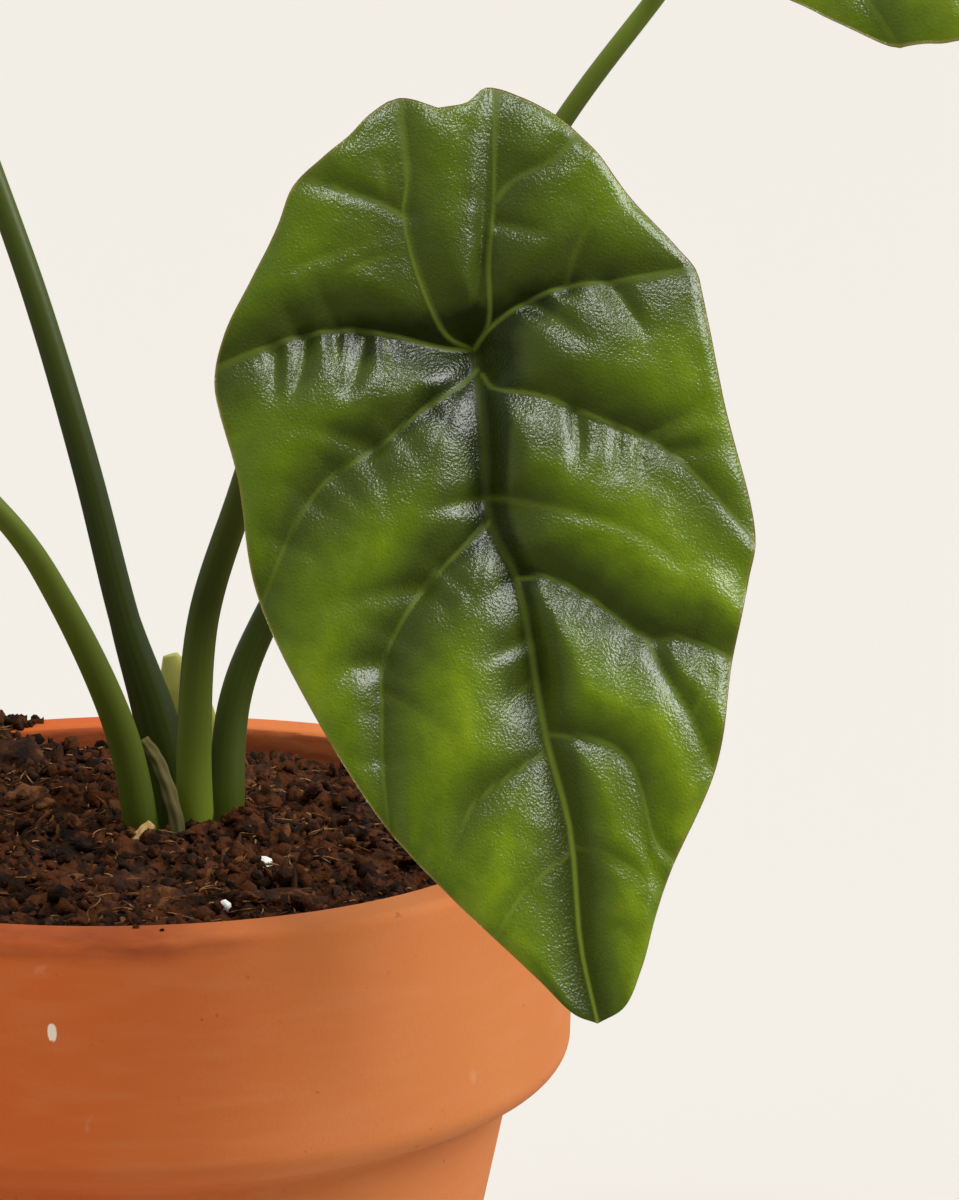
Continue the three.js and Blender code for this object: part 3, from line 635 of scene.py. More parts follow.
def clod(size, stretch, power, turn, lean, centre, seed, rings=22, sides=30):
    """One large clod or chip: a rounded box, whose power says how square it is, with bumps on it, turned and
    put in place."""
    polar = np.linspace(0, np.pi, rings)[:, None]
    around = np.linspace(0, 2 * np.pi, sides, endpoint=False)[None]
    ball = np.stack(
        [np.sin(polar) * np.cos(around), np.sin(polar) * np.sin(around), np.cos(polar) + 0 * around], -1
    )
    square = (np.abs(ball) ** power).sum(-1, keepdims=True) ** (-1 / power)
    rough = 1 + 0.22 * bumps(3 * ball[..., 0] + 9, 3 * ball[..., 1] + 4 * ball[..., 2], 1, seed)
    rough = rough + 0.14 * bumps(8 * ball[..., 1], 8 * ball[..., 2] + 6 * ball[..., 0], 1, seed + 1)
    shape = ball * square * rough[..., None] * np.asarray(stretch) * size
    c, n = math.cos(turn), math.sin(turn)
    shape = shape @ np.array([[c, -n, 0], [n, c, 0], [0, 0, 1]]).T
    c, n = math.cos(lean), math.sin(lean)
    shape = shape @ np.array([[1, 0, 0], [0, c, -n], [0, n, c]]).T + np.asarray(centre)
    return shape.reshape(-1, 3), grid_quads(rings, sides, wrap=True)[:, ::-1]


def stem_places():
    """Where the stems come out of the mix, seen from above."""
    routes = [*PETIOLES.values(), SHOOT]
    return np.array([route[1][:2] for route in routes])


def scattered(draws, count, smallest, largest, s):
    """Places and sizes for loose bits: even over the mix, small ones more often, big ones clear of the
    stems."""
    radius = (MIX_REACH - 0.4) * np.sqrt(draws.uniform(0, 1, count))
    angle = draws.uniform(0, 2 * np.pi, count)
    x, y = radius * np.cos(angle), radius * np.sin(angle)
    size = smallest + (largest - smallest) * draws.uniform(0, 1, count) ** 3
    near = np.min(np.hypot(x[:, None] - stem_places()[:, 0], y[:, None] - stem_places()[:, 1]), 1)
    size = np.where(near < STEM_ROOM, np.minimum(size, STEM_BIT), size)
    size = np.where(radius + size > MIX_REACH, np.maximum(MIX_REACH - radius, 0.35), size)
    return np.column_stack([x, y, fine_mix_height(x, y, s) + 0.25 * size]), size


def shades(draws, count, each, low=0.0, high=1.0):
    """One shade for each loose bit, repeated for each of its points."""
    return np.repeat(draws.uniform(low, high, count), each)


class PLANT_OT_mix(bpy.types.Operator):
    """Fill the pot with potting mix: its surface, clods and bark, crumbs, fibres and white grains"""

    bl_idname = "plant.mix"
    bl_label = "Potting mix"

    def execute(self, context):
        s, pot = context.scene.plant_mix, context.scene.plant_pot
        peat = earthy("moist_peat", "120702", tuple(s.soil), "4C270D", 1.6)
        bark = earthy("composted_bark", "1C0E06", colour("40210E"), "6A401F", 3.5, roughness=0.85)
        coir = earthy("coir_fibre", "38200F", colour("6C4223"), "9C6E42", 2.0, roughness=0.9)
        perlite = earthy("perlite", "B9B2A4", colour("E9E4DA"), "F6F3EC", 1.5, depth=0.4)
        gap = 0.3
        foot, neck, collar, rim = pot_inside(pot)
        share = (s.wall_height / MM - collar[1]) / (rim[1] - collar[1])
        wall = collar[0] + (rim[0] - collar[0]) * share - gap
        sides, rings = 480, 146
        radii = np.concatenate([[0.0], np.array([foot[0], neck[0], collar[0]]) - gap])
        radii = np.concatenate([radii, wall * np.linspace(1, 0, rings)])
        angle = np.linspace(0, 2 * np.pi, sides, endpoint=False)
        x, y = radii[:, None] * np.sin(angle), -radii[:, None] * np.cos(angle)
        z = fine_mix_height(x, y, s)
        # The first four rings are the underside: the floor's middle, its edge, the neck and the collar
        z[:4] = np.array([foot[1] + gap, foot[1] + gap, neck[1], collar[1]])[:, None]
        points = np.stack([x, y, z], -1).reshape(-1, 3)
        surface = new_piece(
            "mix_surface",
            points,
            grid_quads(len(radii), sides, wrap=True),
            weld=0.001,
            material=peat,
            shade=0.5 + 0.5 * bumps(points[:, 0], points[:, 1], 2.7, 11),
        )
        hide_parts("potting_mix")

        draws = np.random.default_rng(29)
        places, sizes = scattered(draws, s.crumbs, 0.3, 1.5, s)
        spilt, spilt_sizes = self.spill(draws, pot)
        places, sizes = np.vstack([places, spilt]), np.concatenate([sizes, spilt_sizes])
        stretch = draws.uniform(0.5, 1.4, (len(sizes), 3))
        points, quads, triangles, each = lumps(places, sizes, stretch, draws)
        crumbs = new_piece(
            "crumbs", points, quads, triangles, material=peat, shade=shades(draws, len(sizes), each)
        )

        places, sizes = scattered(draws, s.chips, 0.8, 2.8, s)
        stretch = np.array([1.3, 0.55, 0.28]) * draws.uniform(0.75, 1.2, (len(sizes), 3))
        points, quads, triangles, each = lumps(places, sizes, stretch, draws, roughness=0.22)
        chips = new_piece(
            "bark_chips", points, quads, triangles, material=bark, shade=shades(draws, len(sizes), each)
        )

        found = [*clod_places(s), LOOSE_CLOD]
        grids, faces, tones, start = [], [], [], 0
        for number, (kind, size, centre, turn, lean) in enumerate(found):
            stretch, power = ((1.2, 1, 0.85), 2.3) if kind == "clod" else ((0.95, 0.45, 0.26), 5)
            points, quads = clod(size, stretch, power, turn, lean, centre, number)
            grids.append(points)
            faces.append(quads + start)
            tones.append(np.full(len(points), draws.uniform(0.1, 0.8)))
            start += len(points)
        points, quads = np.vstack(grids), np.vstack(faces)
        clods = new_piece("clods", points, quads, weld=0.001, material=bark, shade=np.concatenate(tones))

        places, sizes = scattered(draws, s.fibres, 1.5, 6.0, s)
        strands = self.strands(places, sizes, draws)
        fibres = new_piece("fibres", *strands[:3], material=coir, shade=shades(draws, len(sizes), strands[3]))

        x, y, size = np.array(WHITE_GRAINS).T
        middles = np.column_stack([x, y, fine_mix_height(x, y, s) + 0.35 * size])
        points, quads, triangles, each = lumps(middles, size, np.ones((len(x), 3)), draws, 9, 12, 0.12)
        grains = new_piece(
            "white_grains", points, quads, triangles, material=perlite, shade=shades(draws, len(x), each, 0.3)
        )

        x, y, size = np.array(RIM_SPECKS).T
        middles = np.column_stack([x, y, np.full(len(x), pot.height / MM) + 0.3 * size])
        points, quads, triangles, each = lumps(middles, size, np.ones((len(x), 3)), draws)
        specks = new_piece(
            "rim_specks", points, quads, triangles, material=peat, shade=shades(draws, len(x), each)
        )
        return {"FINISHED"}

    def spill(self, draws, pot):
        """Crumbs heaped on the rim: the heap is highest at its middle and one crumb high at its ends."""
        count = SPILL["crumbs"]
        x = draws.normal(SPILL["x"], SPILL["width"], count)
        radius = draws.uniform(0.2, 0.75, count) * pot.rim_wall / MM + (pot.rim_radius - pot.rim_wall) / MM
        size = draws.uniform(0.5, 1.3, count)
        heap = SPILL["height"] * np.exp(-(((x - SPILL["x"]) / SPILL["width"]) ** 2))
        z = pot.height / MM + 0.35 * size + heap * draws.uniform(0, 1, count)
        return np.column_stack([x, np.sqrt(radius**2 - x**2), z]), size

    def strands(self, places, sizes, draws):
        """Thin fibres: a three-sided tube along a bent line that lies on the mix."""
        count, steps, sides = len(sizes), 6, 3
        heading = draws.uniform(0, 2 * np.pi, count)
        bend = draws.uniform(-1.2, 1.2, count)
        rise = draws.uniform(-0.05, 0.3, count)
        t = np.linspace(-0.5, 0.5, steps)
        direction = heading[:, None] + bend[:, None] * t
        x = places[:, 0, None] + sizes[:, None] * t * np.cos(direction)
        y = places[:, 1, None] + sizes[:, None] * t * np.sin(direction)
        hump = rise[:, None] * t + 0.15 * (0.25 - t**2)
        z = places[:, 2, None] + sizes[:, None] * hump - 0.1 * sizes[:, None]
        thickness = 0.13 * np.sqrt(1.05 - (2 * t) ** 2)[None, :] * draws.uniform(0.7, 1.5, count)[:, None]
        around = 2 * np.pi * np.arange(sides) / sides
        side = thickness[..., None] * np.cos(around)
        points = np.stack(
            [
                x[..., None] - side * np.sin(direction)[..., None],
                y[..., None] + side * np.cos(direction)[..., None],
                z[..., None] + thickness[..., None] * np.sin(around),
            ],
            -1,
        )
        quads = grid_quads(steps, sides, wrap=True)
        each = steps * sides
        caps = np.array([[0, 2, 1], [each - 3, each - 2, each - 1]])
        shift = (np.arange(count) * each)[:, None, None]
        return points.reshape(-1, 3), (quads[None] + shift), (caps[None] + shift), each


# The stems. Each station is x, y, z, half width and half depth.

PETIOLES = {
    "left": [
        (4, -3, 105, 2.3, 2.3),
        (2.7, -6, 118.1, 2.8, 2.6),
        (-0.1, -8.5, 135.1, 2.5, 2.4),
        (-8.7, -17, 158.4, 2.0, 2.0),
        (-16.5, -25, 172.9, 1.7, 1.7),
        (-45, -37, 202, 1.5, 1.5),
        (-80, -43, 219, 1.4, 1.4),
    ],
    "back": [
        (5.5, 5, 105, 2.5, 2.4),
        (6.6, 4.5, 121.5, 3.7, 3.0),
        (4.2, 4.5, 134.5, 3.5, 2.8),
        (-0.4, 4.5, 150.4, 2.4, 2.4),
        (-6.1, 6, 173.8, 2.2, 2.2),
        (-13.7, 9.5, 199.9, 2.0, 2.0),
        (-24, 15, 229, 1.8, 1.8),
        (-33, 21, 257, 1.7, 1.7),
        (-44, 27, 277, 1.6, 1.6),
    ],
    "front": [
        (11, -1.8, 105, 2.3, 2.3),
        (10.6, -3, 119.9, 2.9, 2.6),
        (10.7, -3.5, 133.1, 2.7, 2.5),
        (12.4, -6, 152.6, 2.4, 2.4),
        (18, -12.5, 171, 2.2, 2.2),
        (26, -27, 192, 1.9, 1.9),
        (38, -41, 204, 1.8, 1.8),
    ],
    "right": [
        (14.8, 3.6, 105, 2.3, 2.3),
        (15.1, 3, 121.9, 2.9, 2.6),
        (16.6, 5.5, 137.4, 2.5, 2.4),
        (21.8, 6, 150.8, 2.2, 2.2),
        (43.2, 5.2, 187.8, 1.8, 1.8),
        (68, 6, 228.6, 1.5, 1.5),
        (82.3, 8.5, 247.3, 1.4, 1.4),
        (93, 14, 261, 1.4, 1.4),
    ],
}
# Partly each petiole's own green and partly painted shade: the back petiole is painted darkest, where it
# stands in shade
FRESHNESS_AND_SHADE = {  # how fresh a petiole's green is at its foot, a third of the way up, two thirds and at the top
    "left": (0.15, 0.38, 0.38, 0.45),
    "back": (0.0, 0.03, 0.25, 0.4),
    "front": (0.65, 0.08, 0.25, 0.4),
    "right": (0.2, 0.0, 0.85, 1.0),
}
SHOOT = [
    (9.8, 8.8, 106, 2.3, 1.6),
    (9.2, 10.3, 120, 4.5, 2.2),
    (9, 10.5, 132, 4.6, 2.0),
    (7.6, 10.5, 138.5, 3.6, 1.5),
    (6.2, 10.5, 143.5, 1.2, 0.7),
]
WITHERED = [
    (8.6, -7.8, 110, 1.0, 0.9),
    (7.9, -7.4, 121, 1.1, 0.9),
    (6.6, -6.3, 126.2, 1.1, 0.8),
    (4.9, -5.1, 130.6, 1.0, 0.7),
    (2.9, -4.2, 133.4, 0.8, 0.6),
]
ROOT_STUB = [
    (0.4, -15, 113, 1.1, 1.1),
    (0.6, -14.6, 117.6, 1.2, 1.1),
    (2.6, -13.4, 119.9, 1.1, 1.0),
    (4.5, -12.2, 121.9, 0.8, 0.8),
]


def stem(stations, sides, steps, skin):
    """A closed stem along a smooth curve: ellipses square to it, whose side direction is carried along
    without twisting. skin changes the radius by place along and around, and both places come back too."""
    stations = np.asarray(stations, float)
    along = np.linspace(0, 1, steps + 1)
    centres = spline(stations[:, :3], along)
    ahead = spline(stations[:, :3], along + 1e-4) - spline(stations[:, :3], along - 1e-4)
    ahead /= np.linalg.norm(ahead, axis=1, keepdims=True)
    side = np.array([1.0, 0, 0])
    sideways = []
    for direction in ahead:
        side = side - side.dot(direction) * direction
        side = side / np.linalg.norm(side)
        sideways.append(side)
    sideways = np.array(sideways)
    across = np.cross(ahead, sideways)
    place = along * (len(stations) - 1)
    sizes = [np.interp(place, np.arange(len(stations)), stations[:, k]) for k in (3, 4)]
    turn = np.linspace(0, 2 * np.pi, sides, endpoint=False)
    factor = 1 + skin(along[:, None], turn[None])
    points = (
        centres[:, None]
        + (factor * sizes[0][:, None] * np.cos(turn))[..., None] * sideways[:, None]
        + (factor * sizes[1][:, None] * np.sin(turn))[..., None] * across[:, None]
    )
    points = np.vstack([centres[:1], points.reshape(-1, 3), centres[-1:]])
    quads = grid_quads(steps + 1, sides, wrap=True) + 1
    spin = np.roll(np.arange(sides), -1)
    last = len(points) - 1
    first_cap = np.column_stack([np.zeros(sides, int), 1 + spin, 1 + np.arange(sides)])
    last_cap = np.column_stack([np.full(sides, last), last - sides + np.arange(sides), last - sides + spin])
    marks = {
        "along": np.concatenate([[0], np.repeat(along, sides), [1]]),
        "around": np.concatenate([[0], np.tile(np.abs(turn / np.pi - 1), steps + 1), [0]]),
    }
    return points, quads, np.vstack([first_cap, last_cap]), marks


class PLANT_OT_stems(bpy.types.Operator):
    """Grow the four petioles, the sheathed shoot, the withered stalk and the root's end"""

    bl_idname = "plant.stems"
    bl_label = "Stems"

    def execute(self, context):
        s = context.scene.plant_stem
        flesh = fleshy_stem("fleshy_petiole", tuple(s.old), tuple(s.young), "77852C")
        pale = fleshy_stem("pale_sheath", colour("8D8C34"), colour("B0AE58"), "C6C584")
        dry = fleshy_stem("dry_stalk", colour("423D18"), colour("665D30"), "7A7048", roughness=0.8)
        straw = fleshy_stem("dry_root", colour("8A6A3E"), colour("B5935A"), "CDB27F", roughness=0.8)

        def smooth_skin(along, turn):
            """Nearly round, with a shallow groove along the front that starts above the foot."""
            groove = 0.05 * np.exp(-(((turn - 1.5 * np.pi) / 0.5) ** 2))
            waver = 0.005 * np.sin(7 * turn) + 0.02 * np.sin(17 * along + turn)
            return waver - groove * smooth(along, 0.1, 0.3)

        def wizened(along, turn):
            """Five furrows that wind round, and wrinkles across them."""
            return 0.12 * np.sin(5 * turn + 6 * along) + 0.08 * np.sin(31 * along + 2 * turn)

        def rolled(along, turn):
            """The sheath's free edge winds round as a low ridge, over faint lengthwise ribs."""
            seam = np.exp(-(((turn - 1.6 * np.pi - 1.2 * along) / 0.16) ** 2))
            return 0.1 * seam + 0.01 * np.sin(14 * turn)

        for name, stations in PETIOLES.items():
            _, lengthwise, face = blade_axes(BLADES[name])
            tip_radius = stations[-1][3]
            joint = np.array(JUNCTION[name])
            approach = [joint - 9 * face + 4 * lengthwise, joint - (SINK + 0.5) * face]
            whole = [*stations, *[(*point, tip_radius, tip_radius) for point in approach]]
            points, quads, caps, marks = stem(whole, 28, 190, smooth_skin)
            # Each petiole's own green, with painted shade in it, most of all on the back petiole
            marks["fresh"] = np.interp(marks["along"], (0.1, 0.4, 0.7, 1), FRESHNESS_AND_SHADE[name])
            piece = new_piece(f"petiole_{name}_skin", points, quads, caps, material=flesh, **marks)
            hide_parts(f"petiole_{name}")
        for name, stations, skin, material, node_name, slot in (
            ("new_shoot_skin", SHOOT, rolled, pale, "new_shoot", "sheath"),
            ("withered_stalk_skin", WITHERED, wizened, dry, "withered_stalk", "dry"),
            ("root_stub_skin", ROOT_STUB, wizened, straw, "root_stub", "dry"),
        ):
            points, quads, caps, marks = stem(stations, 32, 70, skin)
            marks["fresh"] = marks["along"]
            piece = new_piece(name, points, quads, caps, material=material, **marks)
            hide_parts(node_name)
        return {"FINISHED"}


class PLANT_OT_corm(bpy.types.Operator):
    """Give the corm inside the mix its brown, scarred skin"""

    bl_idname = "plant.corm"
    bl_label = "Corm"

    def execute(self, context):
        skin = earthy("corm_skin", "6E5034", colour("A98A62"), "D2BC93", 4)
        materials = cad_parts["corm"].data.materials
        materials.clear()
        materials.append(skin)
        return {"FINISHED"}


# The blades, drawn flat in millimetres: x to the right and y from the tip to the petiole's junction, seen
# from above

JUNCTION = {
    "back": (-60, 34, 285),
    "left": (-116, -48, 221),
    "front": (54, -63.4, 203.9),
    "right": (103.8, 10, 273.7),
}
SINK = 3.3  # how far the junction sinks in between the lobes
FAN, TIP = 10, 28  # rows up to the first station all start at the junction, and the last ends in the tip
NOTCH = (1, 33.4)
LEAF_TIP = (0, -95.7)
MARGIN = {
    "right": [
        NOTCH, (5, 33.4), (8.4, 35.3), (16.5, 30.1), (21.4, 23.7), (24.7, 17), (30.4, 8.2), (32.4, 4.8),
        (32.6, 1), (32.7, -14), (33.6, -33.5), (31.5, -39.5), (27.1, -50.5), (22.3, -64.2), (13.4, -77.4),
        (10.3, -83), (7.2, -89.5), (3.8, -94.4), LEAF_TIP,
    ],
    "left": [
        NOTCH, (-4.2, 36), (-8.1, 34.6), (-12.1, 31.6), (-16.2, 29.2), (-20.7, 26.3), (-24.2, 20.6),
        (-29.2, 13.8), (-34.1, 7), (-36.5, 1), (-35.6, -13), (-35.8, -29), (-31.5, -45.5), (-24, -64),
        (-16, -76.5), (-7, -88.5), (-3, -94), LEAF_TIP,
    ],
}
MIDRIB = [(0, 0), (-1, -13.5), (-2.3, -25), (0, -33.5), (0, -55.5), (1, -69), (-0.4, -85), LEAF_TIP]

# The veins as they show: depth of the trough, its reach towards the tip and away from it, half width and
# paleness of the cord, and points. The midrib's first reach is to the left.
VEINS = {
    "midrib": (5.5, 6.4, 3.8, 0.66, 0.9, MIDRIB),
    "left lobe": (
        2.4, 7.5, 4, 0.36, 0.6,
        [(0, 0), (-3.5, 2), (-5.5, 7.5), (-6.5, 19), (-5, 24), (-4.5, 30), (-4, 36.5)],
    ),
    "left lobe branch": (2.0, 2.0, 3.5, 0.4, 0.35, [(-6.5, 19), (-9, 21), (-14, 24), (-19.5, 27)]),
    "right lobe": (3.2, 6.5, 3.2, 0.36, 0.6, [(0, 0), (2.5, 2.5), (4, 10.5), (6, 18), (7.5, 25), (9.5, 35)]),
    "right lobe branch": (1.9, 2.6, 4, 0.4, 0.35, [(6.5, 19), (9, 21), (15, 23), (20.4, 26.5)]),
    "right shoulder": (
        4.4, 8, 4.2, 0.36, 0.7,
        [(0, 0), (2.5, 2), (8.5, 4.5), (14, 5.5), (21.5, 5), (32, 4.8)],
    ),
    "left shoulder": (
        5.3, 8.5, 4.5, 0.33, 0.6,
        [(0, 0), (-4, 0.5), (-10.5, 3), (-16.5, 5), (-23.5, 5.5), (-29.5, 4.5), (-36, 3)],
    ),
    "right first": (
        3.6, 7.6, 4.5, 0.33, 0.5,
        [(0.5, -4), (1.5, -6.5), (7.5, -9), (14, -13), (21, -17.5), (25, -21.5), (33.5, -34.5)],
    ),
    "left first": (
        4.9, 7.4, 4.2, 0.33, 0.5,
        [(0, -3), (-2.5, -5), (-8.5, -8), (-14.5, -11.5), (-25.5, -17), (-35.5, -31)],
    ),
    "left second": (
        4.8, 8, 4.5, 0.3, 0.5,
        [(-2.5, -25), (-6.5, -28), (-11, -31), (-20, -41), (-21.5, -48), (-23, -57), (-23.5, -65)],
    ),
    "right second": (
        4.8, 7.5, 4.5, 0.3, 0.5,
        [(0, -33.5), (4, -34), (9.5, -38), (16.5, -45), (20, -45.5), (24, -47.5), (27.5, -50)],
    ),
    "right second branch": (3.2, 3.8, 3.2, 0.26, 0.5, [(16, -44.5), (17.5, -50), (20, -56.5), (21.5, -63.5)]),
    "right third": (
        3.4, 6, 4, 0.26, 0.4,
        [(0, -55.5), (5, -57), (10, -60), (11.5, -65.5), (12, -72.5), (14, -76)],
    ),
    "left third": (
        3.4, 6, 4, 0.26, 0.4,
        [(-0.5, -58), (-5, -60), (-11.5, -63.5), (-15.5, -69), (-18.5, -73)],
    ),
    "right last": (1.9, 5, 3.5, 0.22, 0.4, [(0.8, -71), (5, -73.5), (9, -77), (11, -81.5)]),
    "left last": (1.7, 5, 3.5, 0.22, 0.4, [(0.6, -72), (-6, -76), (-12, -82)]),
}

# What the rows follow: on each side the station of a row, and the points of the line that it lies on, which
# is a main vein or lies between two
GUIDES = {
    "right": [
        (0, [(0, 0), (0.6, 16), NOTCH]),
        (2, VEINS["right lobe"][-1]),
        (4, [(0, 0), (3.8, 2.6), (6.4, 10.5), (10.5, 18.5), (20.4, 26.5)]),
        (7, VEINS["right shoulder"][-1]),
        (10.3, [(-0.4, -5), *VEINS["right first"][-1][2:]]),
        (15.9, VEINS["right second"][-1]),
        (20.2, VEINS["right third"][-1]),
        (23.3, VEINS["right last"][-1]),
    ],
    "left": [
        (0, [(0, 0), (0.6, 16), NOTCH]),
        (2, VEINS["left lobe"][-1]),
        (4, [(0, 0), (-4.4, 2), (-7.2, 8), (-12, 20), (-20.4, 27.5)]),
        (7, VEINS["left shoulder"][-1]),
        (10.3, [(-0.4, -5), *VEINS["left first"][-1][2:]]),
        (14.3, VEINS["left second"][-1]),
        (20.2, VEINS["left third"][-1]),
        (23.3, VEINS["left last"][-1]),
    ],
}

# Finer creases that branch off them or run beside them: depth, reach and points
FINE_VEINS = [
    (1.1, 0.9, [(0.6, 3.4), (2.8, 10.5), (4.7, 18), (6.2, 25), (8.2, 33)]),
    (0.9, 1.6, [(14, 5.5), (16, 9.5), (19, 13.5), (22, 16.5)]),
    (1.2, 1.6, [(8.5, 4.5), (11.5, 1.5), (16.5, -4.5)]),
    (0.9, 1.5, [(20, 5), (22.5, -1), (24, -5)]),
    (0.7, 1.5, [(-18.5, 5), (-20, 9.5), (-20.5, 15)]),
    (0.6, 1.5, [(-24.5, 5.5), (-25.5, 9), (-26.5, 12)]),
    (1.5, 1.5, [(-15, 4), (-16.5, -0.5), (-19.5, -5.5)]),
    (1.4, 1.5, [(-23, 5.5), (-24, 1.5), (-26.5, -4.5)]),
    (1.3, 1.5, [(-27.5, 4), (-28, 1), (-28.5, -4)]),
    (0.7, 1.1, [(-19, 4), (-19, 1.5), (-20.5, -3)]),
    (0.5, 1.1, [(-12, 3), (-12, 0), (-12.5, -3)]),
    (1.1, 1.6, [(-16.5, -12), (-21.5, -9.5), (-28, -7)]),
    (1.0, 1.6, [(21, -17.5), (26, -16), (32, -14)]),
    (1.2, 1.1, [(12, -12), (11.5, -17), (9.5, -23)]),
    (0.75, 1.1, [(17.5, -15.5), (16.5, -19), (15, -24)]),
    (0.5, 1.1, [(19.5, -17), (19.5, -20), (19, -25)]),
    (0.8, 1.6, [(24, -20), (28.5, -20.5), (32.5, -19.5)]),
    (0.45, 1.5, [(-2, -21.5), (5, -24.5), (12.5, -28), (19, -32), (24.5, -39.5), (29, -43.5)]),
    (0.9, 1.6, [(-2, -21.5), (-6.5, -22), (-12, -23)]),
    (1.1, 1.7, [(-13, -32.5), (-18.5, -32.5), (-24, -33), (-30.5, -33.5)]),
    (1.0, 1.7, [(-20, -42), (-25, -42), (-31, -45)]),
    (0.3, 1.3, [(-22, 14.5), (-18.5, 15), (-14.5, 15.5), (-7, 17)]),
    (0.2, 1.3, [(-15.5, 12.5), (-11.5, 13.5), (-6.5, 14)]),
    (0.25, 1.3, [(-8.5, 27.5), (-8.5, 25), (-8.5, 21)]),
    (0.6, 1.2, [(6.5, 15.5), (10, 14), (13.5, 12.5)]),
    (0.9, 1.9, [(0, -42), (-3.5, -43.5), (-8.5, -45.5)]),
    (1.2, 3.6, [(0, -47.5), (-3.5, -50), (-9, -57)]),
    (0.5, 1.6, [(-21, -46), (-16.5, -50), (-11, -56.5)]),
    (0.4, 1.5, [(5, -84), (8, -87)]),
    (0.4, 1.6, [(24, -52), (19.5, -58), (14.5, -66)]),
]
PUCKERED = ("left first", "left second", "right second")  # the veins beside which the blade is gathered most

# mirror, width, length, arch (across), droop (of the tip), tuck (of the rear lobes), sway (sideways, of the
# tip), wave (of the margin) and seed, much as in the solids. young: how much fresher its green is. detail:
# how fine its grid is, as a share of HALF_COLUMNS and ROWS.
HALF_COLUMNS, ROWS = 84, 266
BLADES = {
    "front": dict(
        mirror=1, width=1, length=1, arch=2.6, droop=4, tuck=2.5, sway=0, wave=0.5, seed=0, young=0,
        to_tip=(0.178, -0.337, -0.925), face_to=(0, -0.94, 0.342), detail=1,
    ),
    "back": dict(
        mirror=-1, width=1.06, length=1.05, arch=4, droop=16, tuck=5, sway=5, wave=1, seed=2, young=0,
        to_tip=(-0.4, 0.6, -0.6), face_to=(-0.5, 0.45, 0.75), detail=0.62,
    ),
    "left": dict(
        mirror=1, width=0.9, length=0.88, arch=3.4, droop=12, tuck=4, sway=-4, wave=0.9, seed=4, young=0.1,
        to_tip=(-0.78, -0.2, -0.55), face_to=(-0.5, -0.45, 0.75), detail=0.62,
    ),
    "right": dict(
        mirror=-1, width=0.98, length=0.95, arch=6, droop=10, tuck=4, sway=3, wave=0.25, seed=6, young=0.05,
        to_tip=(0.847, -0.489, -0.211), face_to=(-0.231, -0.695, 0.681), detail=0.62,
    ),
}


def blade_axes(blade):
    """The blade's own directions: across it, from its tip to the junction, and out of its upper face."""
    lengthwise = -np.array(blade["to_tip"], float)
    lengthwise /= np.linalg.norm(lengthwise)
    face = np.array(blade["face_to"], float)
    face -= face.dot(lengthwise) * lengthwise
    face /= np.linalg.norm(face)
    return np.cross(lengthwise, face), lengthwise, face


def guides_of(side):
    """The lines that the rows of one half follow, from the notch to the tip: station, points, and the share
    of the margin's length at which each ends."""
    shares = np.linspace(0, 1, 301)
    rim = spline_at(MARGIN[side], shares)
    found = []
    for station, path in GUIDES[side]:
        nearest = np.hypot(*(rim - np.array(path[-1])).T).argmin()
        found.append((station, path, shares[nearest]))
    return [*found, (TIP, None, 1.0)]


def flat_half(side, stations, reaches):
    """Points of one half of the flat blade, a row for each station and a column for each reach from 0 on the
    midrib to 1 on the margin. A row blends the two veins on either side of it, then is drawn to its own place
    on the margin by the square of the reach, and to its own place on the midrib by the square of what is
    left."""
    guides = guides_of(side)
    points = np.zeros((len(stations), len(reaches), 2))
    out = reaches[None, :, None]
    for first, second in zip(guides, guides[1:]):
        rows = (stations >= first[0]) & (stations <= second[0])
        share = ((stations[rows] - first[0]) / (second[0] - first[0]))[:, None, None]
        start = spline_at(first[1], reaches)
        end = np.tile(LEAF_TIP, (len(reaches), 1)) if second[1] is None else spline_at(second[1], reaches)
        row = start[None] * (1 - share) + end[None] * share
        rim = spline_at(MARGIN[side], first[2] + (second[2] - first[2]) * share[:, 0, 0])
        spine = spline_at(MIDRIB, np.clip((stations[rows] - FAN) / (TIP - FAN), 0, 1))
        to_rim, to_spine = rim[:, None] - row[:, -1:], spine[:, None] - row[:, :1]
        points[rows] = row + to_rim * out**2 + to_spine * (1 - out) ** 2
    points[stations == TIP] = LEAF_TIP
    return points


def even_stations(rows):
    """Stations at which the rows lie evenly along the margin and the midrib, with each main vein on a row."""
    fine = np.linspace(0, TIP, 561)
    edges = [flat_half(side, fine, np.array([0.0, 1.0])) for side in ("left", "right")]
    steps = sum(np.linalg.norm(np.diff(edge[:, k], axis=0), axis=1) for edge in edges for k in (0, 1))
    steps = steps + 0.35 * steps.mean()
    travelled = np.concatenate([[0], np.cumsum(steps)])
    stations = np.interp(np.linspace(0, travelled[-1], rows), travelled, fine)
    for station in sorted({station for rows in GUIDES.values() for station, _ in rows}):
        stations[np.abs(stations - station).argmin()] = station
    return stations


def to_vein(points, line):
    """Distance from each point to a vein, how far along the vein that is from 0 to 1, and its side: 1 towards
    the leaf's tip, or left of the midrib, and 0 on the other."""
    start, step = line[:-1], np.diff(line, axis=0)
    offset = points[:, None] - start
    t = np.clip((offset * step).sum(-1) / (step**2).sum(-1), 0, 1)
    gaps = offset - t[..., None] * step
    distances = np.linalg.norm(gaps, axis=-1)
    nearest = distances.argmin(1)
    rows = np.arange(len(points))
    # A vein that runs right or straight on has the tip's side on its right hand, any other on its left
    distance, gap, way = distances[rows, nearest], gaps[rows, nearest], step[nearest]
    hand = 1 if line[-1][0] > line[0][0] - 0.5 else -1
    turned = hand * (way[:, 1] * gap[:, 0] - way[:, 0] * gap[:, 1])
    turned = turned / (np.linalg.norm(way, axis=1) * distance + 1e-9)
    return distance, (nearest + t[rows, nearest]) / len(start), smooth(turned, -0.6, 0.6)


